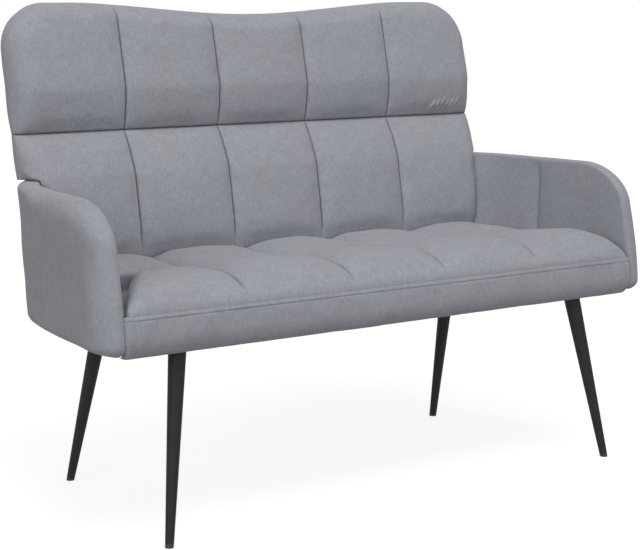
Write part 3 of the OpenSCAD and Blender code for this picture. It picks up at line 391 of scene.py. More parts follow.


# Woven melange cover: two thread directions, streaks, soft clouds and faint warm and violet tints, with
# painted shade in creases, grooves, crevices and hollows
def fabric(name, dark, light, pitch=0.0011):
    mat, t, bsdf = shader(name)
    uv = node(t, "UVMap", uv_map="cloth").outputs[0]
    place = object_place(t)
    warp = drawn_noise(t, uv, (1100, 110), 3.0, 0.6)
    weft = drawn_noise(t, uv, (130, 1000), 2.0, 0.6)
    fleck = drawn_noise(t, uv, (420, 300), 3.0, 0.65)
    cloud = noise(t, place, 45.0, 3.0, 0.6)
    streak = drawn_noise(t, uv, (360, 75), 3.0, 0.6)
    dash = drawn_noise(t, uv, (90, 300), 2.0, 0.6)
    thread = summed(t, [(warp, 0.34), (weft, 0.18), (fleck, 0.22),
                        (streak, 0.34), (dash, 0.16), (cloud, 0.16)])
    tone = ranged(t, thread, 0.50, 0.90, 0.0, 1.0)
    colour = mixed(t, dark, light, tone)
    warm = ranged(t, drawn_noise(t, place, (9, 9, 6), 2.0, 0.5), 0.52, 0.75, 0.0, 0.35)
    colour = mixed(t, colour, (1.02, 1.0, 0.93, 1), warm, "MULTIPLY")
    violet = ranged(t, drawn_noise(t, place, (-7, 8, 7), 2.0, 0.5), 0.54, 0.75, 0.0, 0.5)
    colour = mixed(t, colour, (1.03, 0.975, 1.03, 1), violet, "MULTIPLY")
    # Painted shade: the colour is darkened by the per-point mark laid in creases, grooves, crevices and
    # hollows
    seam = node(t, "Attribute", attribute_name="seam").outputs["Fac"]
    colour = mixed(t, colour, (0.40, 0.40, 0.42, 1), seam, "MULTIPLY")
    split = node(t, "SeparateXYZ", {0: uv})
    a = maths(t, "MULTIPLY", split.outputs[0], math.pi / pitch)
    b = maths(t, "MULTIPLY", split.outputs[1], math.pi / pitch)
    sa, sb = maths(t, "SINE", a), maths(t, "SINE", b)
    over = maths(t, "GREATER_THAN", maths(t, "MULTIPLY", sa, sb), 0.0)
    ha, hb = maths(t, "ABSOLUTE", sa), maths(t, "ABSOLUTE", sb)
    weave = summed(t, [(ha, over), (hb, maths(t, "SUBTRACT", 1.0, over))])
    height = summed(t, [(weave, 0.6), (thread, 0.9)])
    fine = node(t, "Bump", {"Strength": 0.35, "Distance": 0.0005, "Height": height})
    slub = drawn_noise(t, uv, (60, 40), 3.0, 0.6)
    soft = node(t, "Bump", {"Strength": 0.3, "Distance": 0.002, "Height": slub, "Normal": fine.outputs[0]})
    rough = ranged(t, thread, 0.5, 1.0, 0.95, 0.86)
    feed(t, bsdf, {"Base Color": colour, "Roughness": rough, "Normal": soft.outputs[0],
                   "Specular IOR Level": 0.18, "Sheen Weight": 0.18, "Sheen Roughness": 0.5})
    return mat


# Plain fine-grained finish: two tones, uneven roughness and a bump
def grained(name, dark, light, scale, rough, bump, metal=0.0, spec=0.5):
    mat, t, bsdf = shader(name)
    place = object_place(t)
    grain = noise(t, place, scale, 4.0, 0.6)
    broad = noise(t, place, scale * 0.06, 2.0, 0.5)
    tone = summed(t, [(grain, 0.6), (broad, 0.4)])
    made = node(t, "Bump", {"Strength": bump, "Distance": 0.0004, "Height": grain})
    feed(t, bsdf, {"Base Color": mixed(t, dark, light, ranged(t, tone, 0.35, 0.65, 0.0, 1.0)),
                   "Roughness": ranged(t, grain, 0.3, 0.7, *rough), "Normal": made.outputs[0],
                   "Metallic": metal, "Specular IOR Level": spec})
    return mat


# Softwood with growth rings drawn out along the board, and the odd darker fleck
def timber(name, pale, ring, along):
    mat, t, bsdf = shader(name)
    stretch = {"x": (0.06, 1, 1), "y": (1, 0.06, 1), "z": (1, 1, 0.06)}[along]
    place = scaled(t, object_place(t), *stretch)
    bend = noise(t, place, 9.0, 2.0, 0.5)
    rings = node(t, "TexWave", {"Vector": place, "Scale": 34.0, "Distortion": 7.0, "Detail": 2.0,
                                "Detail Scale": 1.2}, wave_type="RINGS").outputs["Fac"]
    pores = noise(t, place, 900.0, 2.0, 0.6)
    tone = summed(t, [(rings, 0.5), (bend, 0.5)])
    colour = mixed(t, pale, ring, ranged(t, tone, 0.25, 0.9, 0.0, 1.0))
    colour = mixed(t, colour, (0.72, 0.66, 0.60, 1), ranged(t, pores, 0.6, 0.75, 0.0, 0.7), "MULTIPLY")
    height = maths(t, "ADD", maths(t, "MULTIPLY", rings, 0.4), pores)
    made = node(t, "Bump", {"Strength": 0.25, "Distance": 0.0004, "Height": height})
    feed(t, bsdf, {"Base Color": colour, "Roughness": ranged(t, rings, 0.0, 1.0, 0.62, 0.75),
                   "Normal": made.outputs[0]})
    return mat


COVER = fabric("cover_weave", (0.205, 0.214, 0.240, 1), (0.375, 0.387, 0.425, 1))
THREAD = fabric("sewing_thread", (0.17, 0.175, 0.195, 1), (0.26, 0.265, 0.29, 1), 0.0004)
WADDING = fabric("fibre_wadding", (0.62, 0.62, 0.60, 1), (0.80, 0.80, 0.78, 1), 0.004)
WEBBING = fabric("elastic_webbing", (0.010, 0.010, 0.012, 1), (0.035, 0.035, 0.038, 1), 0.0022)
CLOTH = fabric("under_cloth", (0.006, 0.006, 0.007, 1), (0.018, 0.018, 0.020, 1), 0.0016)
WOOD_X = timber("softwood_x", (0.60, 0.43, 0.24, 1), (0.44, 0.27, 0.12, 1), "x")
WOOD_Y = timber("softwood_y", (0.58, 0.42, 0.24, 1), (0.42, 0.26, 0.12, 1), "y")
WOOD_Z = timber("softwood_z", (0.60, 0.44, 0.25, 1), (0.45, 0.28, 0.13, 1), "z")
PLY = timber("plywood", (0.56, 0.40, 0.22, 1), (0.40, 0.25, 0.12, 1), "z")
STEEL = grained("black_powder_coat", (0.012, 0.011, 0.013, 1), (0.022, 0.020, 0.023, 1),
                900.0, (0.5, 0.66), 0.25, spec=0.25)
ZINC = grained("zinc_plate", (0.42, 0.43, 0.45, 1), (0.62, 0.62, 0.60, 1),
               700.0, (0.25, 0.42), 0.15, metal=1.0)
PLASTIC = grained("black_plastic", (0.015, 0.015, 0.016, 1), (0.028, 0.028, 0.030, 1),
                  1500.0, (0.45, 0.6), 0.2)

# Camera at the photograph's place
cam = bpy.data.cameras.new("camera")
cam.sensor_width, cam.lens = 36.0, 98.0
cam_obj = placed("camera", cam)
yaw, pitch = math.radians(35.688), math.radians(9.012)
look = Vector((math.sin(yaw) * math.cos(pitch), math.cos(yaw) * math.cos(pitch), -math.sin(pitch)))
aimed(cam_obj, (-1.9395, -2.7054, 0.9071), look)
cam.clip_start, cam.clip_end = 0.1, 60
bpy.context.scene.camera = cam_obj

# Back cushion: lines across and up, with rows that crowd at the seams
BACK_CHANNEL = 1.5 * PITCH
BACK_BASE = SEAM_Z + 4 * GAP
BACK_CELL = SEAM_Z + SEAT_CHANNEL
ARM_FREE = ARM_Z + 4 * GAP


def seam_near(z, reach):
    return np.maximum(0, 1 - np.abs(z - ROW_Z) / reach)


def back_dip(x):
    return DIP_H * (1 + np.cos(np.pi * np.minimum(1, np.abs(x) / DIP_L))) / 2


def back_line_x(k, s, side):
    return np.where(k == 0, lerp(-side, -BACK_CHANNEL, s),
                    np.where(k == LAST, lerp(BACK_CHANNEL, side, s),
                             lerp(-BACK_CHANNEL, BACK_CHANNEL, (k - 1 + s) / 3)))


def back_top(k, s):
    x = back_line_x(k, s, BACK_TOP)
    over = np.maximum(0, np.abs(x) - BACK_TOP + CORNER_R)
    return BACK_TOP_Z - back_dip(x) - (CORNER_R - np.sqrt(np.maximum(0, CORNER_R ** 2 - over ** 2)))


def beside_arm_x(y, z):
    return wall_x(y, flare(y, z)) - 8 * GAP


# Pocket for the frame in the back cushion, which the outside panel closes
POCKET_ARM_X = lerp(float(beside_arm_x(back_y(ARM_Z, RIM), ARM_Z)), BACK_CHANNEL, 0.414)
POCKET_HIGH_X = lerp(BACK_TOP, BACK_CHANNEL, 0.5)


def pocket_x(z):
    return lerp(POCKET_ARM_X, POCKET_HIGH_X, (z - ARM_Z) / (BACK_TOP_Z - ARM_Z))


def pocket_top(x):
    return BACK_TOP_Z - back_dip(x) - 0.44 * BACK_T


# Shares parted into two runs from 0 to 1 that meet at a given share
def parted(share, at):
    first = share < at
    last, start = share[first].max(), share[~first].min()
    return first, np.where(first, share / last, (share - start) / (1 - start)), last


POCKET_DROP, POCKET_WALL = 0.43 * BACK_T, 0.0002
POCKET_COLUMN, POCKET_ROW = 0.36, 0.13


# Rear skin of the back with its lines drawn to the pocket's edge, and which of its points the pocket holds
def drawn_to_pocket(k, s, z, top, side, lows, high):
    ends, share = (k == 0) | (k == LAST), np.where(k == 0, s, 1 - s)
    beyond = np.zeros(k.shape, bool)
    beyond[ends], share[ends], last = parted(share[ends], POCKET_COLUMN)
    pull = np.where(beyond, share ** 3, 1)
    above, rows = parted(1 - high, POCKET_ROW)[:2]
    level = top - np.where(above, rows * POCKET_DROP, lerp(POCKET_DROP + POCKET_WALL, top - ROW_Z, rows))
    z_rear = z.copy()
    z_rear[:, lows:] = lerp(z[:, lows:], level[:, 1:], pull)
    inside = np.broadcast_to(~beyond, z.shape).copy()
    inside[:, lows:] &= ~above[1:]
    line_x, edge_x = back_line_x(k, s, side), pocket_x(z_rear) + GAP
    x = np.where(beyond, np.abs(line_x) - (lerp(side, BACK_CHANNEL, last) - edge_x) * pull,
                 np.where(ends, lerp(edge_x - POCKET_WALL, BACK_CHANNEL, share), np.abs(line_x)))
    return x * np.sign(line_x), z_rear, inside


PUFF_POWER, PUFF_PEAK = 0.38, 0.42


# Front and rear skins of the back, for lines across and for heights below and shares above the row seam
def back_grid(k, s, low, high):
    k, s = k[:, None], s[:, None]
    top = back_top(k, s)
    z = np.concatenate([np.broadcast_to(low, (len(k), len(low))),
                        lerp(ROW_Z, top, high[1:])], 1)
    upper = z > ROW_Z
    x_top = back_line_x(k, s, BACK_TOP)
    over_x = np.abs(x_top) - BACK_TOP + CORNER_R
    over_z = z + back_dip(x_top) - BACK_TOP_Z + CORNER_R
    corner = np.where((over_x > 0) & (over_z > 0), CORNER_R - np.hypot(over_x, over_z), CORNER_R)
    inset = np.minimum(np.minimum(BACK_TOP - np.abs(x_top), BACK_TOP_Z - z - back_dip(x_top)), corner)
    wx, wz = np.maximum(over_x, 1e-6), np.maximum(over_z, 1e-6)
    roll = (wx * SIDE_ROLL + wz * TOP_ROLL) / (wx + wz)
    swell = quarter(np.minimum(inset / roll, 3 * (z - BACK_BASE) / RIM))
    u = cell_rise(k, s, 0.3, PUFF_POWER)
    r = (z - ROW_Z) / (np.where(upper, top, BACK_CELL) - ROW_Z)
    past = np.maximum(0, r - PUFF_PEAK) / (1 - PUFF_PEAK)
    rise = np.where(r < PUFF_PEAK, pinch(r / PUFF_PEAK / 2, PUFF_POWER), lerp(1, 0.5, past ** 1.5))
    low_rise = pinch(np.clip(r, 0, 1), PUFF_POWER)
    puff = lerp(0.3, 1, u) * np.where(upper, TOP_PUFF * rise, LOW_PUFF * low_rise)
    puff = np.where(z < BACK_CELL, 0, puff - ROW_SINK * seam_near(z, ROW_REACH) ** 1.2)
    half = lerp(BACK_LOW, BACK_TOP, np.minimum(1, (z - SEAM_Z) / (ROW_Z - SEAM_Z)))
    half = half - NOTCH_W * seam_near(z, ROW_REACH / 2) ** 1.5
    free = z > ARM_FREE - GAP
    side = np.where(free, half, np.minimum(half, beside_arm_x(back_y(z, RIM), z)))
    y_front = back_y(z, RIM) - (RIM + puff) * swell
    x_rear, z_rear, inside = drawn_to_pocket(k, s, z, top, side, len(low), high)
    deep = (BACK_T - RIM) * quarter(np.minimum(inset / (1.05 * BACK_T), (z - BACK_BASE) / 0.004))
    y_rear = back_y(z_rear, RIM) + np.where(inside, np.minimum(deep, POCKET - RIM), deep)

    def skin(x, y, z, taper):
        beside = beside_arm_x(y, np.minimum(z, ARM_Z))
        over = half - (half - np.minimum(half, beside)) * taper * (1 - quarter((z - ARM_FREE) / 0.035))
        limit = np.where(free, over, beside)
        return np.stack([np.sign(x) * np.minimum(np.abs(x), limit), y, z], -1)

    return skin(back_line_x(k, s, half), y_front, z, swell), skin(x_rear, y_rear, z_rear, 0), z, top


# Lines across the cells, crowded toward the sewn lines or even: the cell and the share of it
def cell_lines(counts, shares=crowded):
    k = np.repeat(np.arange(CELLS), counts)
    return np.append(k, LAST), np.append(np.concatenate([shares(n)[:-1] for n in counts]), 1.0)


# Distance to the nearest sewn line, for cells of a given width; the outer edges don't count as lines
def line_distance(k, s, width, shape):
    away = np.minimum(s, 1 - s) * width
    away[(k + s) < 0.5] = away[(k + s) > LAST + 0.5] = 1
    return np.broadcast_to(away[:, None], shape)


# Short pleats over the seam at the right end of the back
PLEATS, PLEAT_X, PLEAT_PITCH = 6, 0.420, 0.0125
PLEAT_Z, PLEAT_H, PLEAT_LEAN = ROW_Z + 0.010, 0.020, 0.016


def fold(p, start, end, width, height):
    a, b = np.array(start), np.array(end)
    along = ramp((p - a) @ (b - a), (b - a) @ (b - a))
    away = np.linalg.norm(p - (a + along[..., None] * (b - a)), axis=-1)
    return height * bell(away, width) * np.sin(np.pi * np.clip(along, 0.02, 1)) ** 0.5


def back_cushion():
    across, low_rows, high_rows, tucked = 22, 28, 26, 5
    k0, s0 = cell_lines([across] * CELLS, even)
    up, high0 = even(low_rows), even(high_rows)
    p0 = back_grid(k0, s0, lerp(BACK_BASE, ROW_Z, up), high0)[0]
    pins = np.zeros(p0.shape[:2], bool)
    pins[::across, :] = True
    pins[:, [low_rows, -1]] = True
    pins[:, :tucked] = True
    # Where the arms hold the back in, its points would coincide and the cloth would not move
    spread = np.linspace(-0.004, 0.004, len(k0))[:, None, None] * [1, 0, 0]
    shift = cloth_shift(p0 + spread, pins, 3.0, 0.01, 0.0015)
    k, s = cell_lines([170, 34, 34, 34, 170])
    low = np.concatenate([BACK_BASE + np.array([0, 0.2, 1]) * 0.15 * BACK_T,
                          lerp(BACK_CELL, ARM_Z + GAP, steps(28)), [ARM_FREE],
                          lerp(ARM_FREE, ROW_Z, eased(steps(30)))])
    high = crowded(80)
    front, rear, z, top = back_grid(k, s, low, high)
    v = np.where(z <= ROW_Z, (z - BACK_BASE) / (ROW_Z - BACK_BASE), 1 + (z - ROW_Z) / (top - ROW_Z))
    v0 = np.concatenate([up, 1 + high0[1:]])
    u = np.broadcast_to((k + s)[:, None], v.shape)
    front = front + resampled(shift, np.arange(len(k0)) / across, v0, u, v)
    limit = np.where(z > ARM_FREE - GAP, 1, beside_arm_x(front[..., 1], z))
    front[..., 0] = np.clip(front[..., 0], -limit, limit)
    near_line = line_distance(k, s, PITCH, v.shape)
    near_row = np.abs(z - ROW_Z)
    edge = ramp(top - z, 0.03) * ramp(z - BACK_CELL, 0.03)
    gathers = waves(front * [0.25, 0, 1], 0.016, 3) * fade(near_line, 0.008)
    gathers += waves(front * [1, 0, 0.25], 0.018, 4) * fade(near_row, 0.012)
    near = np.minimum(near_line, near_row)
    lift = 0.00045 * gathers * ramp(near, 0.0015)
    lift += 0.0004 * waves(front, 0.09, 5) * ramp(near, 0.03)
    slot = 0.0026 * fade(near_line, 0.0011) + 0.0028 * fade(near_row, 0.0012)
    for i in range(PLEATS):
        x0 = PLEAT_X + PLEAT_PITCH * i
        start, end = (x0, 0, PLEAT_Z), (x0 + PLEAT_LEAN, 0, PLEAT_Z + PLEAT_H + 0.004 * (i % 3))
        lift += fold(front * [1, 0, 1], start, end, 0.0042 - 0.0002 * i, 0.0048 - 0.0005 * i)
    front[..., 1] -= (lift - slot) * edge
    shade = 0.7 * np.maximum(bell(near_line, 0.0012), bell(near_row, 0.0014)) * edge
    to_arm = limit - np.abs(front[..., 0])
    beside = ramp(ARM_Z - z, 0.01) * bell(to_arm, 0.013)
    shade = np.maximum(shade, 0.6 * beside)
    rear[..., 1] += 0.0006 * waves(rear, 0.08, 6)
    front[[0, -1]], front[:, [0, -1]] = rear[[0, -1]], rear[:, [0, -1]]
    return two_skins(front, rear, shade, sharp=False)


covered("back_cushion_quilted", back_cushion(), "back_cushion")


# Seat cushion: five cells across in two rows, with a flat base
SEAT_BASE = SEAM_Z + GAP
FRONT_Y, REAR_Y = -SEAT_REACH, BACK_Y - GAP
ROW_Y = FRONT_Y + SEAT_ROW_L


def seat_side_x(y):
    return wall_x(y, flare(y, SEAM_Z)) - 3 * GAP - CORNER_IN * (1 - quarter((y - FRONT_Y) / FRONT_ROUND))


HOLLOW_Y, HOLLOW_SLOPE, HOLLOW_W, HOLLOW_ROLL, HOLLOW_FLOOR = -0.257, 0.55, 0.102, 0.034, 0.002


# How full the pillows stand beside the arms, where the front row's rounded ends leave a hollow
def end_fullness(y, away):
    edge = np.clip(HOLLOW_SLOPE * (y - HOLLOW_Y), 0, HOLLOW_W)
    ahead = quarter((away - edge) / HOLLOW_ROLL)
    behind = 1 - (1 - quarter((away - HOLLOW_W) / HOLLOW_ROLL)) * (1 - quarter((y - ROW_Y) / 0.010))
    return np.where(y <= ROW_Y, ahead, behind)


# Share by which the rows' outer ends stay open
OPEN_END = 0.38


# Top skin of the seat, for lines across and for shares along the front row and then the rear row
def seat_grid(k, s, v):
    k, s = k[:, None], s[:, None]
    front = v <= 1
    y = np.where(front, lerp(FRONT_Y, ROW_Y, v), lerp(ROW_Y, REAR_Y, v - 1)) + 0 * s
    side = seat_side_x(y)
    at = np.array(SEAT_CHANNELS)
    x = side * lerp(at[k], at[k + 1], s)
    cu = cell_rise(k, s, 0.12, 0.6)
    cv = pinch(np.where(front, lerp(OPEN_END, 1, v), (v - 1) * (1 - OPEN_END)), 0.6)
    rise = SEAT_TUFT + (SEAT_CROSS - SEAT_TUFT) * cu + (SEAT_CHANNEL - SEAT_TUFT) * cv
    rise = rise + (SEAT_CROWN - SEAT_CROSS - SEAT_CHANNEL + SEAT_TUFT) * cu * cv
    rise = rise - np.where(front, 0, cv * SEAT_DROP)
    away = side - np.abs(x)
    full = end_fullness(y, away)
    rise = rise * quarter((y - FRONT_Y) / FRONT_ROUND) * np.where(front, 1, quarter(away / SIDE_ROUND))
    rise = rise * np.sqrt(quarter((REAR_Y - y) / REAR_ROUND))
    rise = np.minimum(rise, HOLLOW_FLOOR * quarter(away / 0.01)) * (1 - full) + rise * full
    y1 = y + rise * SLOPE * np.maximum(0, (y - ROW_Y) / (REAR_Y - ROW_Y))
    return np.stack([x, y1, SEAT_BASE + rise], -1), y, away, full


def seat_cushion():
    across, front_rows, rear_rows = 20, 20, 18
    k0, s0 = cell_lines([across] * CELLS, even)
    v0 = np.concatenate([even(front_rows)[:-1], 1 + even(rear_rows)])
    p0 = seat_grid(k0, s0, v0)[0]
    pins = np.zeros(p0.shape[:2], bool)
    pins[::across, 2:] = True
    pins[:, [0, front_rows, -1]] = True
    shift = cloth_shift(p0, pins, 1.0, 0.01, 0.003)
    k, s = cell_lines([90, 40, 40, 40, 90])
    v = np.concatenate([crowded(56), 1 + crowded(50)[1:]])
    p, y, away, full = seat_grid(k, s, v)
    u = np.broadcast_to((k + s)[:, None], p.shape[:2])
    at_v = np.broadcast_to(v, p.shape[:2])
    p = p + resampled(shift, np.arange(len(k0)) / across, v0, u, at_v)
    near_line = line_distance(k, s, 0.22, p.shape[:2])
    near_row = np.abs(y - ROW_Y)
    edge = ramp(y - FRONT_Y, 0.02) * ramp(REAR_Y - y, 0.03) * ramp(away, 0.03)
    near = np.minimum(near_line, near_row)
    gathers = waves(p * [0.3, 1, 0], 0.020, 13) * fade(near_line, 0.014)
    gathers += waves(p * [1, 0.3, 0], 0.020, 14) * fade(near_row, 0.014)
    lift = 0.0006 * gathers * ramp(near, 0.002)
    lift += 0.0006 * waves(p, 0.10, 15) * ramp(near, 0.03)
    crease = bell(y - FRONT_Y - 0.050, 0.030)
    line = fade(near_line, 0.002) * (0.0006 + 0.0028 * crease)
    p[..., 2] += (lift - line - 0.0008 * fade(near_row, 0.002)) * edge * full
    shade = 0.45 * bell(near_line, 0.0016) * crease * edge
    hollow = ramp(0.034 - (p[..., 2] - SEAT_BASE), 0.004) * ramp(y + 0.266, 0.01)
    hollow = hollow * ramp(0.150 - away, 0.02) * (y < ROW_Y + 0.03)
    shade = np.maximum(shade, 0.55 * hollow * np.where(y < ROW_Y, ramp(0.45 - full, 0.2), 1))
    base = p.copy()
    base[..., 2] = SEAT_BASE
    p[[0, -1], :, 2] = p[:, [0, -1], 2] = SEAT_BASE
    return two_skins(p, base, shade)


covered("seat_cushion_quilted", seat_cushion(), "seat_cushion")


# Front border: seam allowance ridge, a sewn line under it, a soft bulge and a rolled hem
FRAIL_Y = FRONT_Y + PAD_T
RAIL_INNER, RAIL_REBATE = FRAIL_Y + RAIL_T, 0.18 * RAIL_T
RAIL_BOTTOM = BOTTOM_Z + RAIL_LIFT
BULGE, HEM_R = 0.075 * BORDER_H, 0.19 * BORDER_H
STITCH_DROP, STITCH_L, STITCH_R = 0.0075, 0.0045, 0.00042


def border_section():
    top, low, hem, hem_in = SEAM_Z + HAIR, BOTTOM_Z - 0.006, 0.037, 0.017
    z = lerp(top, low, crowded(72))
    drop = top - z
    face = drop / (top - low)
    out = BULGE * pinch(face, 0.7) - hem_in * (1 - quarter((z - low) / hem))
    ridge = 0.0007 * pinch(ramp(drop, STITCH_DROP), 0.5)
    from_stitches = drop - STITCH_DROP
    groove = 0.0006 * bell(from_stitches, 0.0011)
    y = FRONT_Y - out - ridge + groove
    shade = 0.2 * bell(from_stitches, 0.0009) + 0.12 * bell(drop, 0.0009)
    under_rows = 6
    under = lerp(y[-1], FRAIL_Y + RAIL_REBATE, steps(under_rows))
    y = np.concatenate([y, under])
    z = np.append(z, np.full(under_rows, low))
    shade = np.append(shade, np.zeros(under_rows))
    return y, z, shade


# Front border between the arms, its ends drawn in
def front_border():
    y0, z0, shade0 = border_section()
    share = eased(np.linspace(-1, 1, 181))
    share = np.sign(share) * np.abs(share) ** 0.9
    half = wall_x(y0, 0) - GAP
    x = share[:, None] * half
    turn = 0.010
    to_end = half - np.abs(x)
    pull = 1 - quarter(to_end / turn)
    low = ramp(SEAM_Z - z0, SEAM_Z - BOTTOM_Z)
    y = y0 + pull * (turn * 0.8)
    z = z0 + pull * turn * 0.3 * low ** 3
    face = ramp(SEAM_Z - z, 0.012) * ramp(to_end, 0.03)
    p = np.stack([x, y, z], -1)
    dent = 0.0007 * waves(p * [1, 0, 1], 0.12, 21) + 0.00035 * waves(p * [1, 0, 0.3], 0.03, 22)
    p[..., 1] -= dent * face
    inner = p.copy()
    inner[..., 1] = np.maximum(FRAIL_Y - GAP, p[..., 1])
    inner[..., 2] = np.clip(p[..., 2], RAIL_BOTTOM - GAP, SEAM_Z - GAP)
    inner = lerp(p, inner, ramp(to_end, 0.012)[..., None])
    inner[:, 0] = p[:, 0]
    inner[:, -1] = p[:, -1]
    shade = shade0 * ramp(to_end - 0.006, 0.01)
    return flipped(two_skins(p, inner, shade))


covered("seat_border_front_cover", front_border(), "seat_border_front")


# Rows of stitches, each a small capsule laid into the groove
def stitches(points, length, radius):
    seg = np.linalg.norm(np.diff(points, axis=0), axis=1)
    at = np.concatenate([[0], np.cumsum(seg)])
    pitch = length * 1.35
    several = []
    ring = np.linspace(0, 2 * np.pi, 7)[:-1]
    share = np.array([-0.5, -0.42, -0.2, 0.2, 0.42, 0.5])
    girth = np.array([0.05, 0.65, 1, 1, 0.65, 0.05])
    for mid in np.arange(pitch, at[-1] - pitch / 2, pitch):
        c = np.array([np.interp(mid, at, points[:, i]) for i in range(3)])
        a = np.array([np.interp(mid + 0.001, at, points[:, i]) for i in range(3)]) - c
        a /= np.linalg.norm(a)
        b = np.cross(a, [0, 0.3, 1.0])
        b /= np.linalg.norm(b)
        d = np.cross(a, b)
        round_it = np.cos(ring)[:, None] * b + np.sin(ring)[:, None] * d
        rings = c + a * (share * length)[:, None, None] + radius * girth[:, None, None] * round_it
        n = len(ring)
        i = np.arange(len(share) * n).reshape(len(share), n)
        i = np.concatenate([i, i[:, :1]], 1)
        v = rings.reshape(-1, 3)
        several.append((v, quads(i), v[:, [0, 2]], np.zeros(len(v))))
    return joined(several)


def seam_line(z, lift):
    half = float(wall_x(FRONT_Y, 0)) - 0.016
    x = np.linspace(-half, half, 240)
    return np.stack([x, 0 * x + FRONT_Y - lift, 0 * x + z], -1)


stitch_out = BULGE * float(pinch(np.array(STITCH_DROP / (BORDER_H + 0.006)), 0.7)) - 0.0006
stitch_row = stitches(seam_line(SEAM_Z - STITCH_DROP, stitch_out), STITCH_L, STITCH_R)
piece("seat_front_stitching", stitch_row, THREAD)


# Rear border between the arms, closed under the outside back
def rear_border():
    face = crowded(20)
    z = np.concatenate([lerp(SEAM_Z - GAP, BOTTOM_Z + HEM_R, face),
                        BOTTOM_Z + HEM_R * (1 - eased(steps(10))),
                        np.full(5, BOTTOM_Z)])
    out = np.concatenate([np.zeros(21), HEM_R * late(steps(10)),
                          lerp(HEM_R, BACK_T - PANEL_OFF - GAP, steps(5))])
    y = back_y(z, BACK_T) - out
    share = eased(np.linspace(-1, 1, 101))
    half = wall_x(y, 0) - GAP
    x = share[:, None] * half
    to_end = half - np.abs(x)
    pull = 1 - quarter(to_end / 0.010)
    low = ramp(SEAM_Z - z, SEAM_Z - BOTTOM_Z)
    p = np.stack([x, y - pull * 0.006, z + pull * 0.010 * low ** 3], -1)
    p[..., 1] += 0.0006 * waves(p * [1, 0, 1], 0.10, 31) * ramp(to_end, 0.03)
    inner = p.copy()
    inner[1:-1, 1:-1, 1] = np.minimum(p[1:-1, 1:-1, 1] - 0.0004, back_y(p[1:-1, 1:-1, 2], PANEL_OFF + GAP))
    inner[1:-1, 1:-1, 2] = np.maximum(p[1:-1, 1:-1, 2], BOTTOM_Z + 0.001)
    return two_skins(p, inner)


covered("seat_border_rear_cover", rear_border(), "seat_border_rear")


# Outside back panel, crowned, with a sewn edge
def rear_panel():
    s = crowded(90)[:, None]
    w = crowded(60)
    x_top = lerp(-1, 1, s) * (pocket_x(pocket_top(BACK_CHANNEL)) - 2 * GAP)
    z = lerp(SEAM_Z + GAP, pocket_top(x_top) - GAP, w)
    x = lerp(-1, 1, s) * (pocket_x(z) - 2 * GAP)
    base_t = BACK_T - PANEL_OFF
    edge = np.minimum(np.minimum(s, 1 - s) * 0.82, np.minimum(w, 1 - w) * 0.45)
    crown = quarter(edge / 0.05)
    from_seam = edge - 0.010
    groove = 0.0012 * bell(from_seam, 0.0016)
    out = 0.3 * base_t + crown * (0.7 * base_t + 0.03 * BACK_T) - groove
    p = np.stack([x, back_y(z, PANEL_OFF + out), z], -1)
    p[..., 1] += 0.0009 * waves(p * [1, 0, 1], 0.16, 41) * crown
    base = np.stack([x, back_y(z, PANEL_OFF), z], -1)
    p[[0, -1]], p[:, [0, -1]] = base[[0, -1]], base[:, [0, -1]]
    shade = 0.6 * bell(from_seam, 0.0013)
    return flipped(two_skins(p, base, shade))


covered("back_rear_cover", rear_panel(), "back_rear_panel")


# Arms: length t from the nose and height z, as in the CAD model, in finer steps
ARM_HEM = 0.38 * ARM_T
NOSE_R = 0.020


def arm_lean(z):
    return LEAN * np.maximum(0, (z - BOTTOM_Z) / ARM_H) ** 1.6


def arm_end(z):
    y = back_y(z, BACK_T) - 2 * GAP
    return ARM_STRAIGHT + SIDE_L + ARM_CORNER_R * (np.arcsin((y - CORNER_C[1]) / ARM_CORNER_R) - CORNER_A)


def arm_flare_at(t, z):
    return flare(wall_point(t, 0)[1], z)


def arm_grid(nose, ahead, behind, rear, rows_low, rows_mid, rows_top):
    groups = [nose, ahead, behind, rear]
    count = sum(map(len, groups))
    s_top = np.full((count, 1), ROUND_L)
    s_top[:len(nose), 0] = nose * ROUND_L
    top = ARM_Z - ROUND_H * (1 - quarter(s_top / ROUND_L))
    low, high = BOTTOM_Z + ARM_HEM, top - 0.8 * ROUND_H
    z = np.concatenate([np.broadcast_to(BOTTOM_Z + rows_low * ARM_HEM, (count, len(rows_low))),
                        lerp(low, high, rows_mid), top - rows_top * ROUND_H], 1)
    end = arm_end(z) - arm_lean(z)
    line = ARM_CHANNEL - arm_lean(z)
    a, b, c = np.cumsum([len(g) for g in groups])[:3]
    s = np.concatenate([nose[:, None] * ROUND_L + 0 * z[:a],
                        lerp(ROUND_L, line[a:b], ahead[:, None]),
                        lerp(line[b:c], end[b:c] - ARM_HEM, behind[:, None]),
                        end[c:] - rear[:, None] * ARM_HEM])
    return s, z, end - s


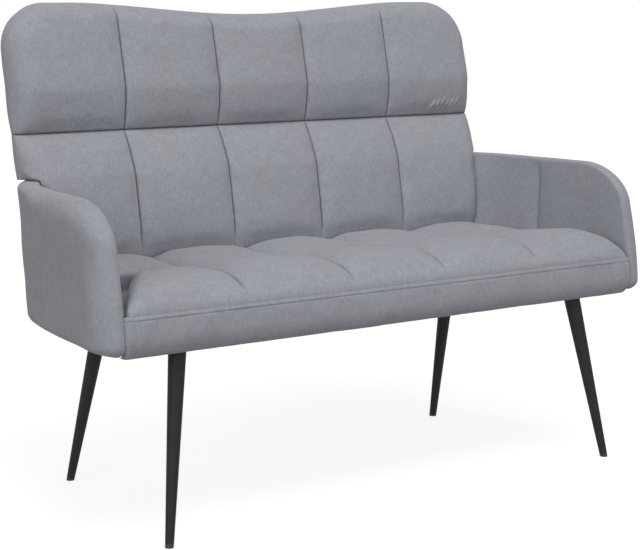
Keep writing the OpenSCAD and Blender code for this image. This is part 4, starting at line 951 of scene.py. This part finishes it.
# Outer and inner pad of the right arm
def arm_pads():
    nose = late(np.linspace(0, 1, 25))
    ahead = eased(np.linspace(0, 1, 30))[1:]
    behind = late(np.linspace(0, 1, 46))[1:-1]
    rear = 1 - eased(np.linspace(0, 1, 15))
    rows_low = late(np.linspace(0, 1, 13))
    rows_mid = np.linspace(0, 1, 32)[1:-1]
    rows_top = 0.8 * (1 - eased(np.linspace(0, 1, 25)))
    s, z, back = arm_grid(nose, ahead, behind, rear, rows_low, rows_mid, rows_top)
    t = s + arm_lean(z) + NOSE_R * (1 - quarter((z - BOTTOM_Z) / NOSE_R)) * bell(s, 0.05)
    q = np.hypot(np.maximum(0, (ROUND_L - s) / ROUND_L), np.maximum(0, (z - ARM_Z + ROUND_H) / ROUND_H))
    aft = ramp(t - 0.28, 0.12)
    reach = lerp(lerp(0.55, 0.2, ramp(t - 0.20, 0.32)), 0.15, aft)
    full = boxy((1 - q) / reach, lerp(2.15, 3.2, aft))
    full = full * quarter((z - BOTTOM_Z) / ARM_HEM) * quarter(back / ARM_HEM)
    seam_n = ARM_IN + arm_flare_at(t, ARM_Z)
    flared = arm_flare_at(t, z)

    def at(n, z=z, t=t):
        x, y = wall_point(t, n)
        return np.stack([x, y, z], -1)

    bulge = 0.003 * bell(s - 0.05, 0.07) * ramp(0.50 - z, 0.08)
    outer_n = lerp(seam_n, ARM_T + flared + bulge - 0.005 * aft, full)
    mid = at(outer_n)
    dents = 0.0010 * waves(mid, 0.13, 51) + 0.0004 * waves(mid * [1, 1, 0.35], 0.045, 52)
    outer_n = outer_n + full ** 4 * dents
    inside = np.zeros(s.shape, bool)
    inside[10:-14, 12:-14] = True
    pocket = seam_n + np.where(inside, CORE_T + 9 * GAP, 0)
    pocket = np.minimum(pocket, np.maximum(seam_n, outer_n - 0.003))
    outer = two_skins(at(outer_n), at(pocket))
    edge = ARM_IN * 0.7
    rim = lerp(edge, edge * 0.3, ramp(t - 0.20, 0.20))
    face = quarter((1 - q) * ROUND_H / rim) * quarter((z - BOTTOM_Z) / edge) * quarter(back / edge)
    away = np.abs(t - ARM_CHANNEL)
    reach = ramp(ARM_Z - z - 0.010, 0.035) * face
    crease = (0.0052 * fade(away, 0.013) + 0.0008 * fade(away, 0.0020)) * reach
    crown = 0.0022 * ramp(away, 0.05) * face ** 2 * ramp(ARM_Z - z, 0.05)
    inner_n = lerp(seam_n - HAIR, flared, face) + crease - crown * 0.6
    inner_n = inner_n + face ** 3 * 0.00025 * waves(at(inner_n), 0.12, 53)
    inner_n = np.minimum(inner_n, seam_n - HAIR)
    shade = 0.4 * bell(away, 0.0030) * reach
    return outer, flipped(two_skins(at(inner_n), at(seam_n - HAIR), shade))


outer_pad, inner_pad = arm_pads()
covered("arm_outer_cover_right", outer_pad, "arm_outer_pad_right")
covered("arm_outer_cover_left", mirrored(outer_pad), "arm_outer_pad_left")
covered("arm_inner_cover_right", inner_pad, "arm_inner_pad_right")
covered("arm_inner_cover_left", mirrored(inner_pad), "arm_inner_pad_left")

# Seat frame places for the hidden soft pieces
STRAP_WAVE = 0.625 * STRAP_T
STRAP_MID = SEAM_Z - STRAP_WAVE - STRAP_T / 2
RAIL_TOP = STRAP_MID - STRAP_WAVE - STRAP_T / 2 - HAIR
REAR_RAIL_Y = back_y(BOTTOM_Z, FRAME_OFF) - 1.15 * RAIL_T
SIDE_MIN = 0.27 * RAIL_T
FRONT_HALF = float(wall_x(RAIL_INNER, 0)) - SIDE_MIN
REAR_HALF = float(wall_x(back_y(RAIL_TOP, FRAME_OFF), 0)) - SIDE_MIN
SIDE_REAR = (float(wall_x(REAR_RAIL_Y, 0)) - SIDE_MIN, REAR_RAIL_Y - HAIR)
CROSS_PITCH = (REAR_RAIL_Y - RAIL_INNER) / 3.6
CROSS_Y = [(REAR_RAIL_Y + RAIL_INNER) / 2 + (j - 1) * CROSS_PITCH for j in range(3)]
LONG_PITCH = (2 * (SIDE_REAR[0] - RAIL_T - 0.071) - STRAP_W) / 6
LONG_X = [(i - 3) * LONG_PITCH for i in range(7)]


# One strap: a woven band that rises and dips along its length, with thin rounded edges
def strap_parts(line, across):
    thick = 0.9 * STRAP_T
    at = np.concatenate([[0], np.cumsum(np.linalg.norm(np.diff(line, axis=0), axis=1))])
    count, smoothings = 160, 3
    fine = np.linspace(0, at[-1], count)
    mid = np.stack([np.interp(fine, at, line[:, i]) for i in range(3)], -1)
    for _ in range(smoothings):
        mid[1:-1] = (mid[:-2] + mid[1:-1] + mid[2:]) / 3
    along = np.gradient(mid, axis=0)
    along /= np.linalg.norm(along, axis=1)[:, None]
    up = np.cross(along, across)
    up /= np.linalg.norm(up, axis=1)[:, None]
    share = eased(np.linspace(-1, 1, 25))
    half = thick / 2 * quarter((1 - np.abs(share)) * STRAP_W / thick)
    flat = mid[:, None] + share[:, None] * STRAP_W / 2 * np.array(across)
    lift = half[:, None] * up[:, None]
    ends = np.ones((count, 1, 1))
    ends[[0, -1]] = 0
    return two_skins(flat + lift * ends, flat - lift * ends)


# Line of a strap from rail to rail, over and under the straps that cross it
def wavy(start, end, places, first_up):
    low, on_rail = STRAP_MID - STRAP_WAVE, RAIL_T * 0.7
    pts = [(start, low), (start + on_rail, low)]
    for i, at in enumerate(places):
        z = STRAP_MID + (1 if (i + first_up) % 2 == 0 else -1) * STRAP_WAVE
        pts += [(at - STRAP_W * 0.56, z), (at + STRAP_W * 0.56, z)]
    return pts + [(end - on_rail, low), (end, low)]


def strap(name, parts, node_name):
    made = piece(name, parts, WEBBING, [node_name])


front_end, rear_end = FRAIL_Y + 0.3 * RAIL_T, back_y(RAIL_TOP, FRAME_OFF) - 0.3 * RAIL_T
for i, x in enumerate(LONG_X):
    line = np.array([(x, y, z) for y, z in wavy(front_end, rear_end, CROSS_Y, i % 2)])
    strap(f"webbing_long_{i + 1}", strap_parts(line, (1, 0, 0)),
          "webbing_lengthwise")
for j, y in enumerate(CROSS_Y):
    end = float(wall_x(y + STRAP_W / 2, 0)) - SIDE_MIN - 0.5 * RAIL_T
    line = np.array([(x, y, z) for x, z in wavy(-end, end, LONG_X, (j + 1) % 2)])
    strap(f"webbing_cross_{j + 1}", strap_parts(line, (0, 1, 0)),
          "webbing_crosswise")
FRAME_TOP = lerp(ROW_Z + UPRIGHT_W / 2, BACK_TOP_Z - DIP_H - 0.44 * BACK_T, 0.37)
STRAP_Z = [lerp(SEAM_Z + UPRIGHT_W, ROW_Z - UPRIGHT_W / 2, s) for s in (0.22, 0.78)]
for j, z in enumerate(STRAP_Z + [(ROW_Z + FRAME_TOP) / 2]):
    end = float(pocket_x(z)) - 0.4 * UPRIGHT_W
    y = back_y(z, FRAME_OFF - HAIR - STRAP_T / 2)
    line = np.array([(x, y, z) for x in np.linspace(-end, end, 9)])
    strap(f"webbing_back_{j + 1}", strap_parts(line, (0, math.sin(RECLINE), math.cos(RECLINE))),
          "back_webbing")


# Wadding between each side rail and the arm, with rounded edges
def side_pad():
    y = np.linspace(FRAIL_Y + RAIL_REBATE + 0.001, back_y(BOTTOM_Z, FRAME_OFF), 60)
    out = wall_x(y, 0) - 2 * GAP
    rail = np.interp(y, [RAIL_INNER, SIDE_REAR[1]], [FRONT_HALF, SIDE_REAR[0]])
    inn = np.where(y > REAR_RAIL_Y, REAR_HALF, np.where(y < RAIL_INNER, FRONT_HALF, rail)) + GAP
    share = crowded(16)
    z = lerp(RAIL_BOTTOM, SEAM_Z, share)
    soft = quarter(np.minimum(share, 1 - share) * (SEAM_Z - RAIL_BOTTOM) / 0.004)
    mid = lerp(inn, out, 0.5)[:, None]
    ends = quarter(np.minimum(np.arange(60), 59 - np.arange(60)) / 3)[:, None]

    def skin(edge):
        x = lerp(mid, edge[:, None], soft * ends)
        return np.stack([x, y[:, None] + 0 * x, z + 0 * x], -1)

    return two_skins(skin(out), skin(inn))


wad = side_pad()
piece("side_wadding_right", wad, WADDING, ["seat_border_right"])
piece("side_wadding_left", mirrored(wad), WADDING, ["seat_border_left"])


# Cloth under the seat, stapled to the rails and cut out round the leg plates
def under_cloth():
    y0, y1 = FRAIL_Y + RAIL_REBATE + GAP, float(back_y(BOTTOM_Z, PANEL_OFF)) - 4 * GAP
    hole = PLATE_W / 2 + 2 * GAP
    py = [FRAIL_Y + RAIL_REBATE + hole, REAR_RAIL_Y - PLATE_W / 2]
    px = [FRONT_HALF - FRONT_LEG_IN, REAR_HALF - REAR_LEG_IN]
    marks = [max(y0, py[0] - hole), py[0] + hole, py[1] - hole, py[1] + hole, y1]
    y = np.concatenate([[y0]] + [lerp(a, b, steps(n))
                                 for a, b, n in zip([y0] + marks, marks, (1, 8, 26, 8, 8)) if b > a + 1e-6])
    leg = np.interp(y, [py[0] + hole, py[1] - hole], px)
    half = (wall_x(y, 0) - GAP)[:, None]
    inner, outer = (leg - hole)[:, None], (leg + hole)[:, None]
    cols = [np.linspace(0, 1, 29) * inner, lerp(inner, outer, steps(8)),
            lerp(outer, np.maximum(half, outer), steps(8))]
    right = np.minimum(np.concatenate(cols, 1), half)
    x = np.concatenate([-right[:, :0:-1], right], 1)
    z = RAIL_BOTTOM - HAIR - 0.5 * STRAP_T
    sag = 0.0015 * ramp(0.9 * half - np.abs(x), 0.1)
    sag = sag * ramp(np.minimum(y - y0 - 0.03, y1 - 0.06 - y), 0.08)[:, None]
    points = np.stack([x, y[:, None] + 0 * x, z + 0.0005 - sag], -1).reshape(-1, 3)
    faces = quads(np.arange(x.size).reshape(x.shape))
    corners = points[faces]
    mid = corners.mean(1)
    keep = np.ones(len(faces), bool)
    for plate_x, plate_y in zip(px, py):
        keep &= ~((np.abs(mid[:, 1] - plate_y) < hole) & (np.abs(np.abs(mid[:, 0]) - plate_x) < hole))
    area = np.linalg.norm(np.cross(corners[:, 2] - corners[:, 0], corners[:, 3] - corners[:, 1]), axis=1) / 2
    keep &= area > 1e-9
    faces = faces[keep]
    used = np.unique(faces)
    remap = np.full(x.size, -1)
    remap[used] = np.arange(len(used))
    verts = points[used]
    parts = verts, remap[faces], verts[:, :2].copy(), np.zeros(len(verts)), np.zeros(len(verts), bool)
    return parts, float(area[keep].sum()), (float(2 * half.max()), y1 - y0)


cloth, cloth_area, cloth_size = under_cloth()
under = piece("under_seat_cloth", cloth, CLOTH, ["dust_cover"])

# Finishes on the CAD nodes that stay, by how a node's name begins, first match first
FINISHES = [("leg_bearer side_rail centre_rail", WOOD_Y), ("back_upright corner_blocks", WOOD_Z),
            ("front_rail rear_rail back_top_rail back_middle_rail back_bottom_rail", WOOD_X),
            ("arm_panel", PLY), ("back_bolts arm_bolts leg_screws", ZINC), ("foot_glides", PLASTIC),
            ("leg_", STEEL)]
for name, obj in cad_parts.items():
    finish = next((made for starts, made in FINISHES if name.startswith(tuple(starts.split()))), COVER)
    for s in obj.material_slots:
        s.material = finish

# Floor: matt and pale, it keeps the shadow, and glows to near white for the camera
floor_mat, t, bsdf = shader("floor")
path = node(t, "LightPath")
seen = maths(t, "MAXIMUM", path.outputs["Is Camera Ray"], path.outputs["Is Glossy Ray"])
far = node(t, "VectorMath", {0: object_place(t)}, operation="LENGTH").outputs["Value"]
glow = ranged(t, far, 1.5, 4.0, 0.83, 0.91)
feed(t, bsdf, {"Base Color": (0.30, 0.30, 0.305, 1), "Roughness": 0.9, "Specular IOR Level": 0.1,
               "Emission Color": (1, 1, 1, 1), "Emission Strength": maths(t, "MULTIPLY", seen, glow)})
mesh = bpy.data.meshes.new("floor")
FLOOR_HALF = 9
corners = [(FLOOR_HALF * i, FLOOR_HALF * j, 0) for i, j in ((-1, -1), (1, -1), (1, 1), (-1, 1))]
mesh.from_pydata(corners, [], [(0, 1, 2, 3)])
mesh.materials.append(floor_mat)
placed("floor", mesh)

# World: plain light for the object, white where the camera and reflections see it
world = bpy.data.worlds.new("studio")
bpy.context.scene.world = world
world.use_nodes = True
t = world.node_tree
t.nodes.clear()
path = node(t, "LightPath")
seen = maths(t, "MAXIMUM", path.outputs["Is Camera Ray"], path.outputs["Is Transmission Ray"])
plain = node(t, "Background", {"Color": (1, 1, 1, 1), "Strength": 0.35})
white = node(t, "Background", {"Color": (1, 1, 1, 1), "Strength": 1.0})
mix = node(t, "MixShader", {0: seen, 1: plain.outputs[0], 2: white.outputs[0]})
t.links.new(mix.outputs[0], node(t, "OutputWorld").inputs[0])


# Soft lamps, aimed at the middle of the sofa
def lamp(name, place, size, power):
    light = bpy.data.lights.new(name, "AREA")
    light.shape, light.size, light.size_y, light.energy = "RECTANGLE", size[0], size[1], power
    aimed(placed(name, light), place, Vector((0, 0, 0.5)) - Vector(place))


lamp("lamp_top", (-0.3, -2.2, 5.6), (4.0, 3.0), 166)
lamp("lamp_front", (-0.6, -6.5, 2.2), (3.5, 2.5), 92)
lamp("lamp_left", (-9.5, -4.4, 3.8), (6.0, 4.3), 370)

bpy.context.scene.view_settings.view_transform = "Standard"
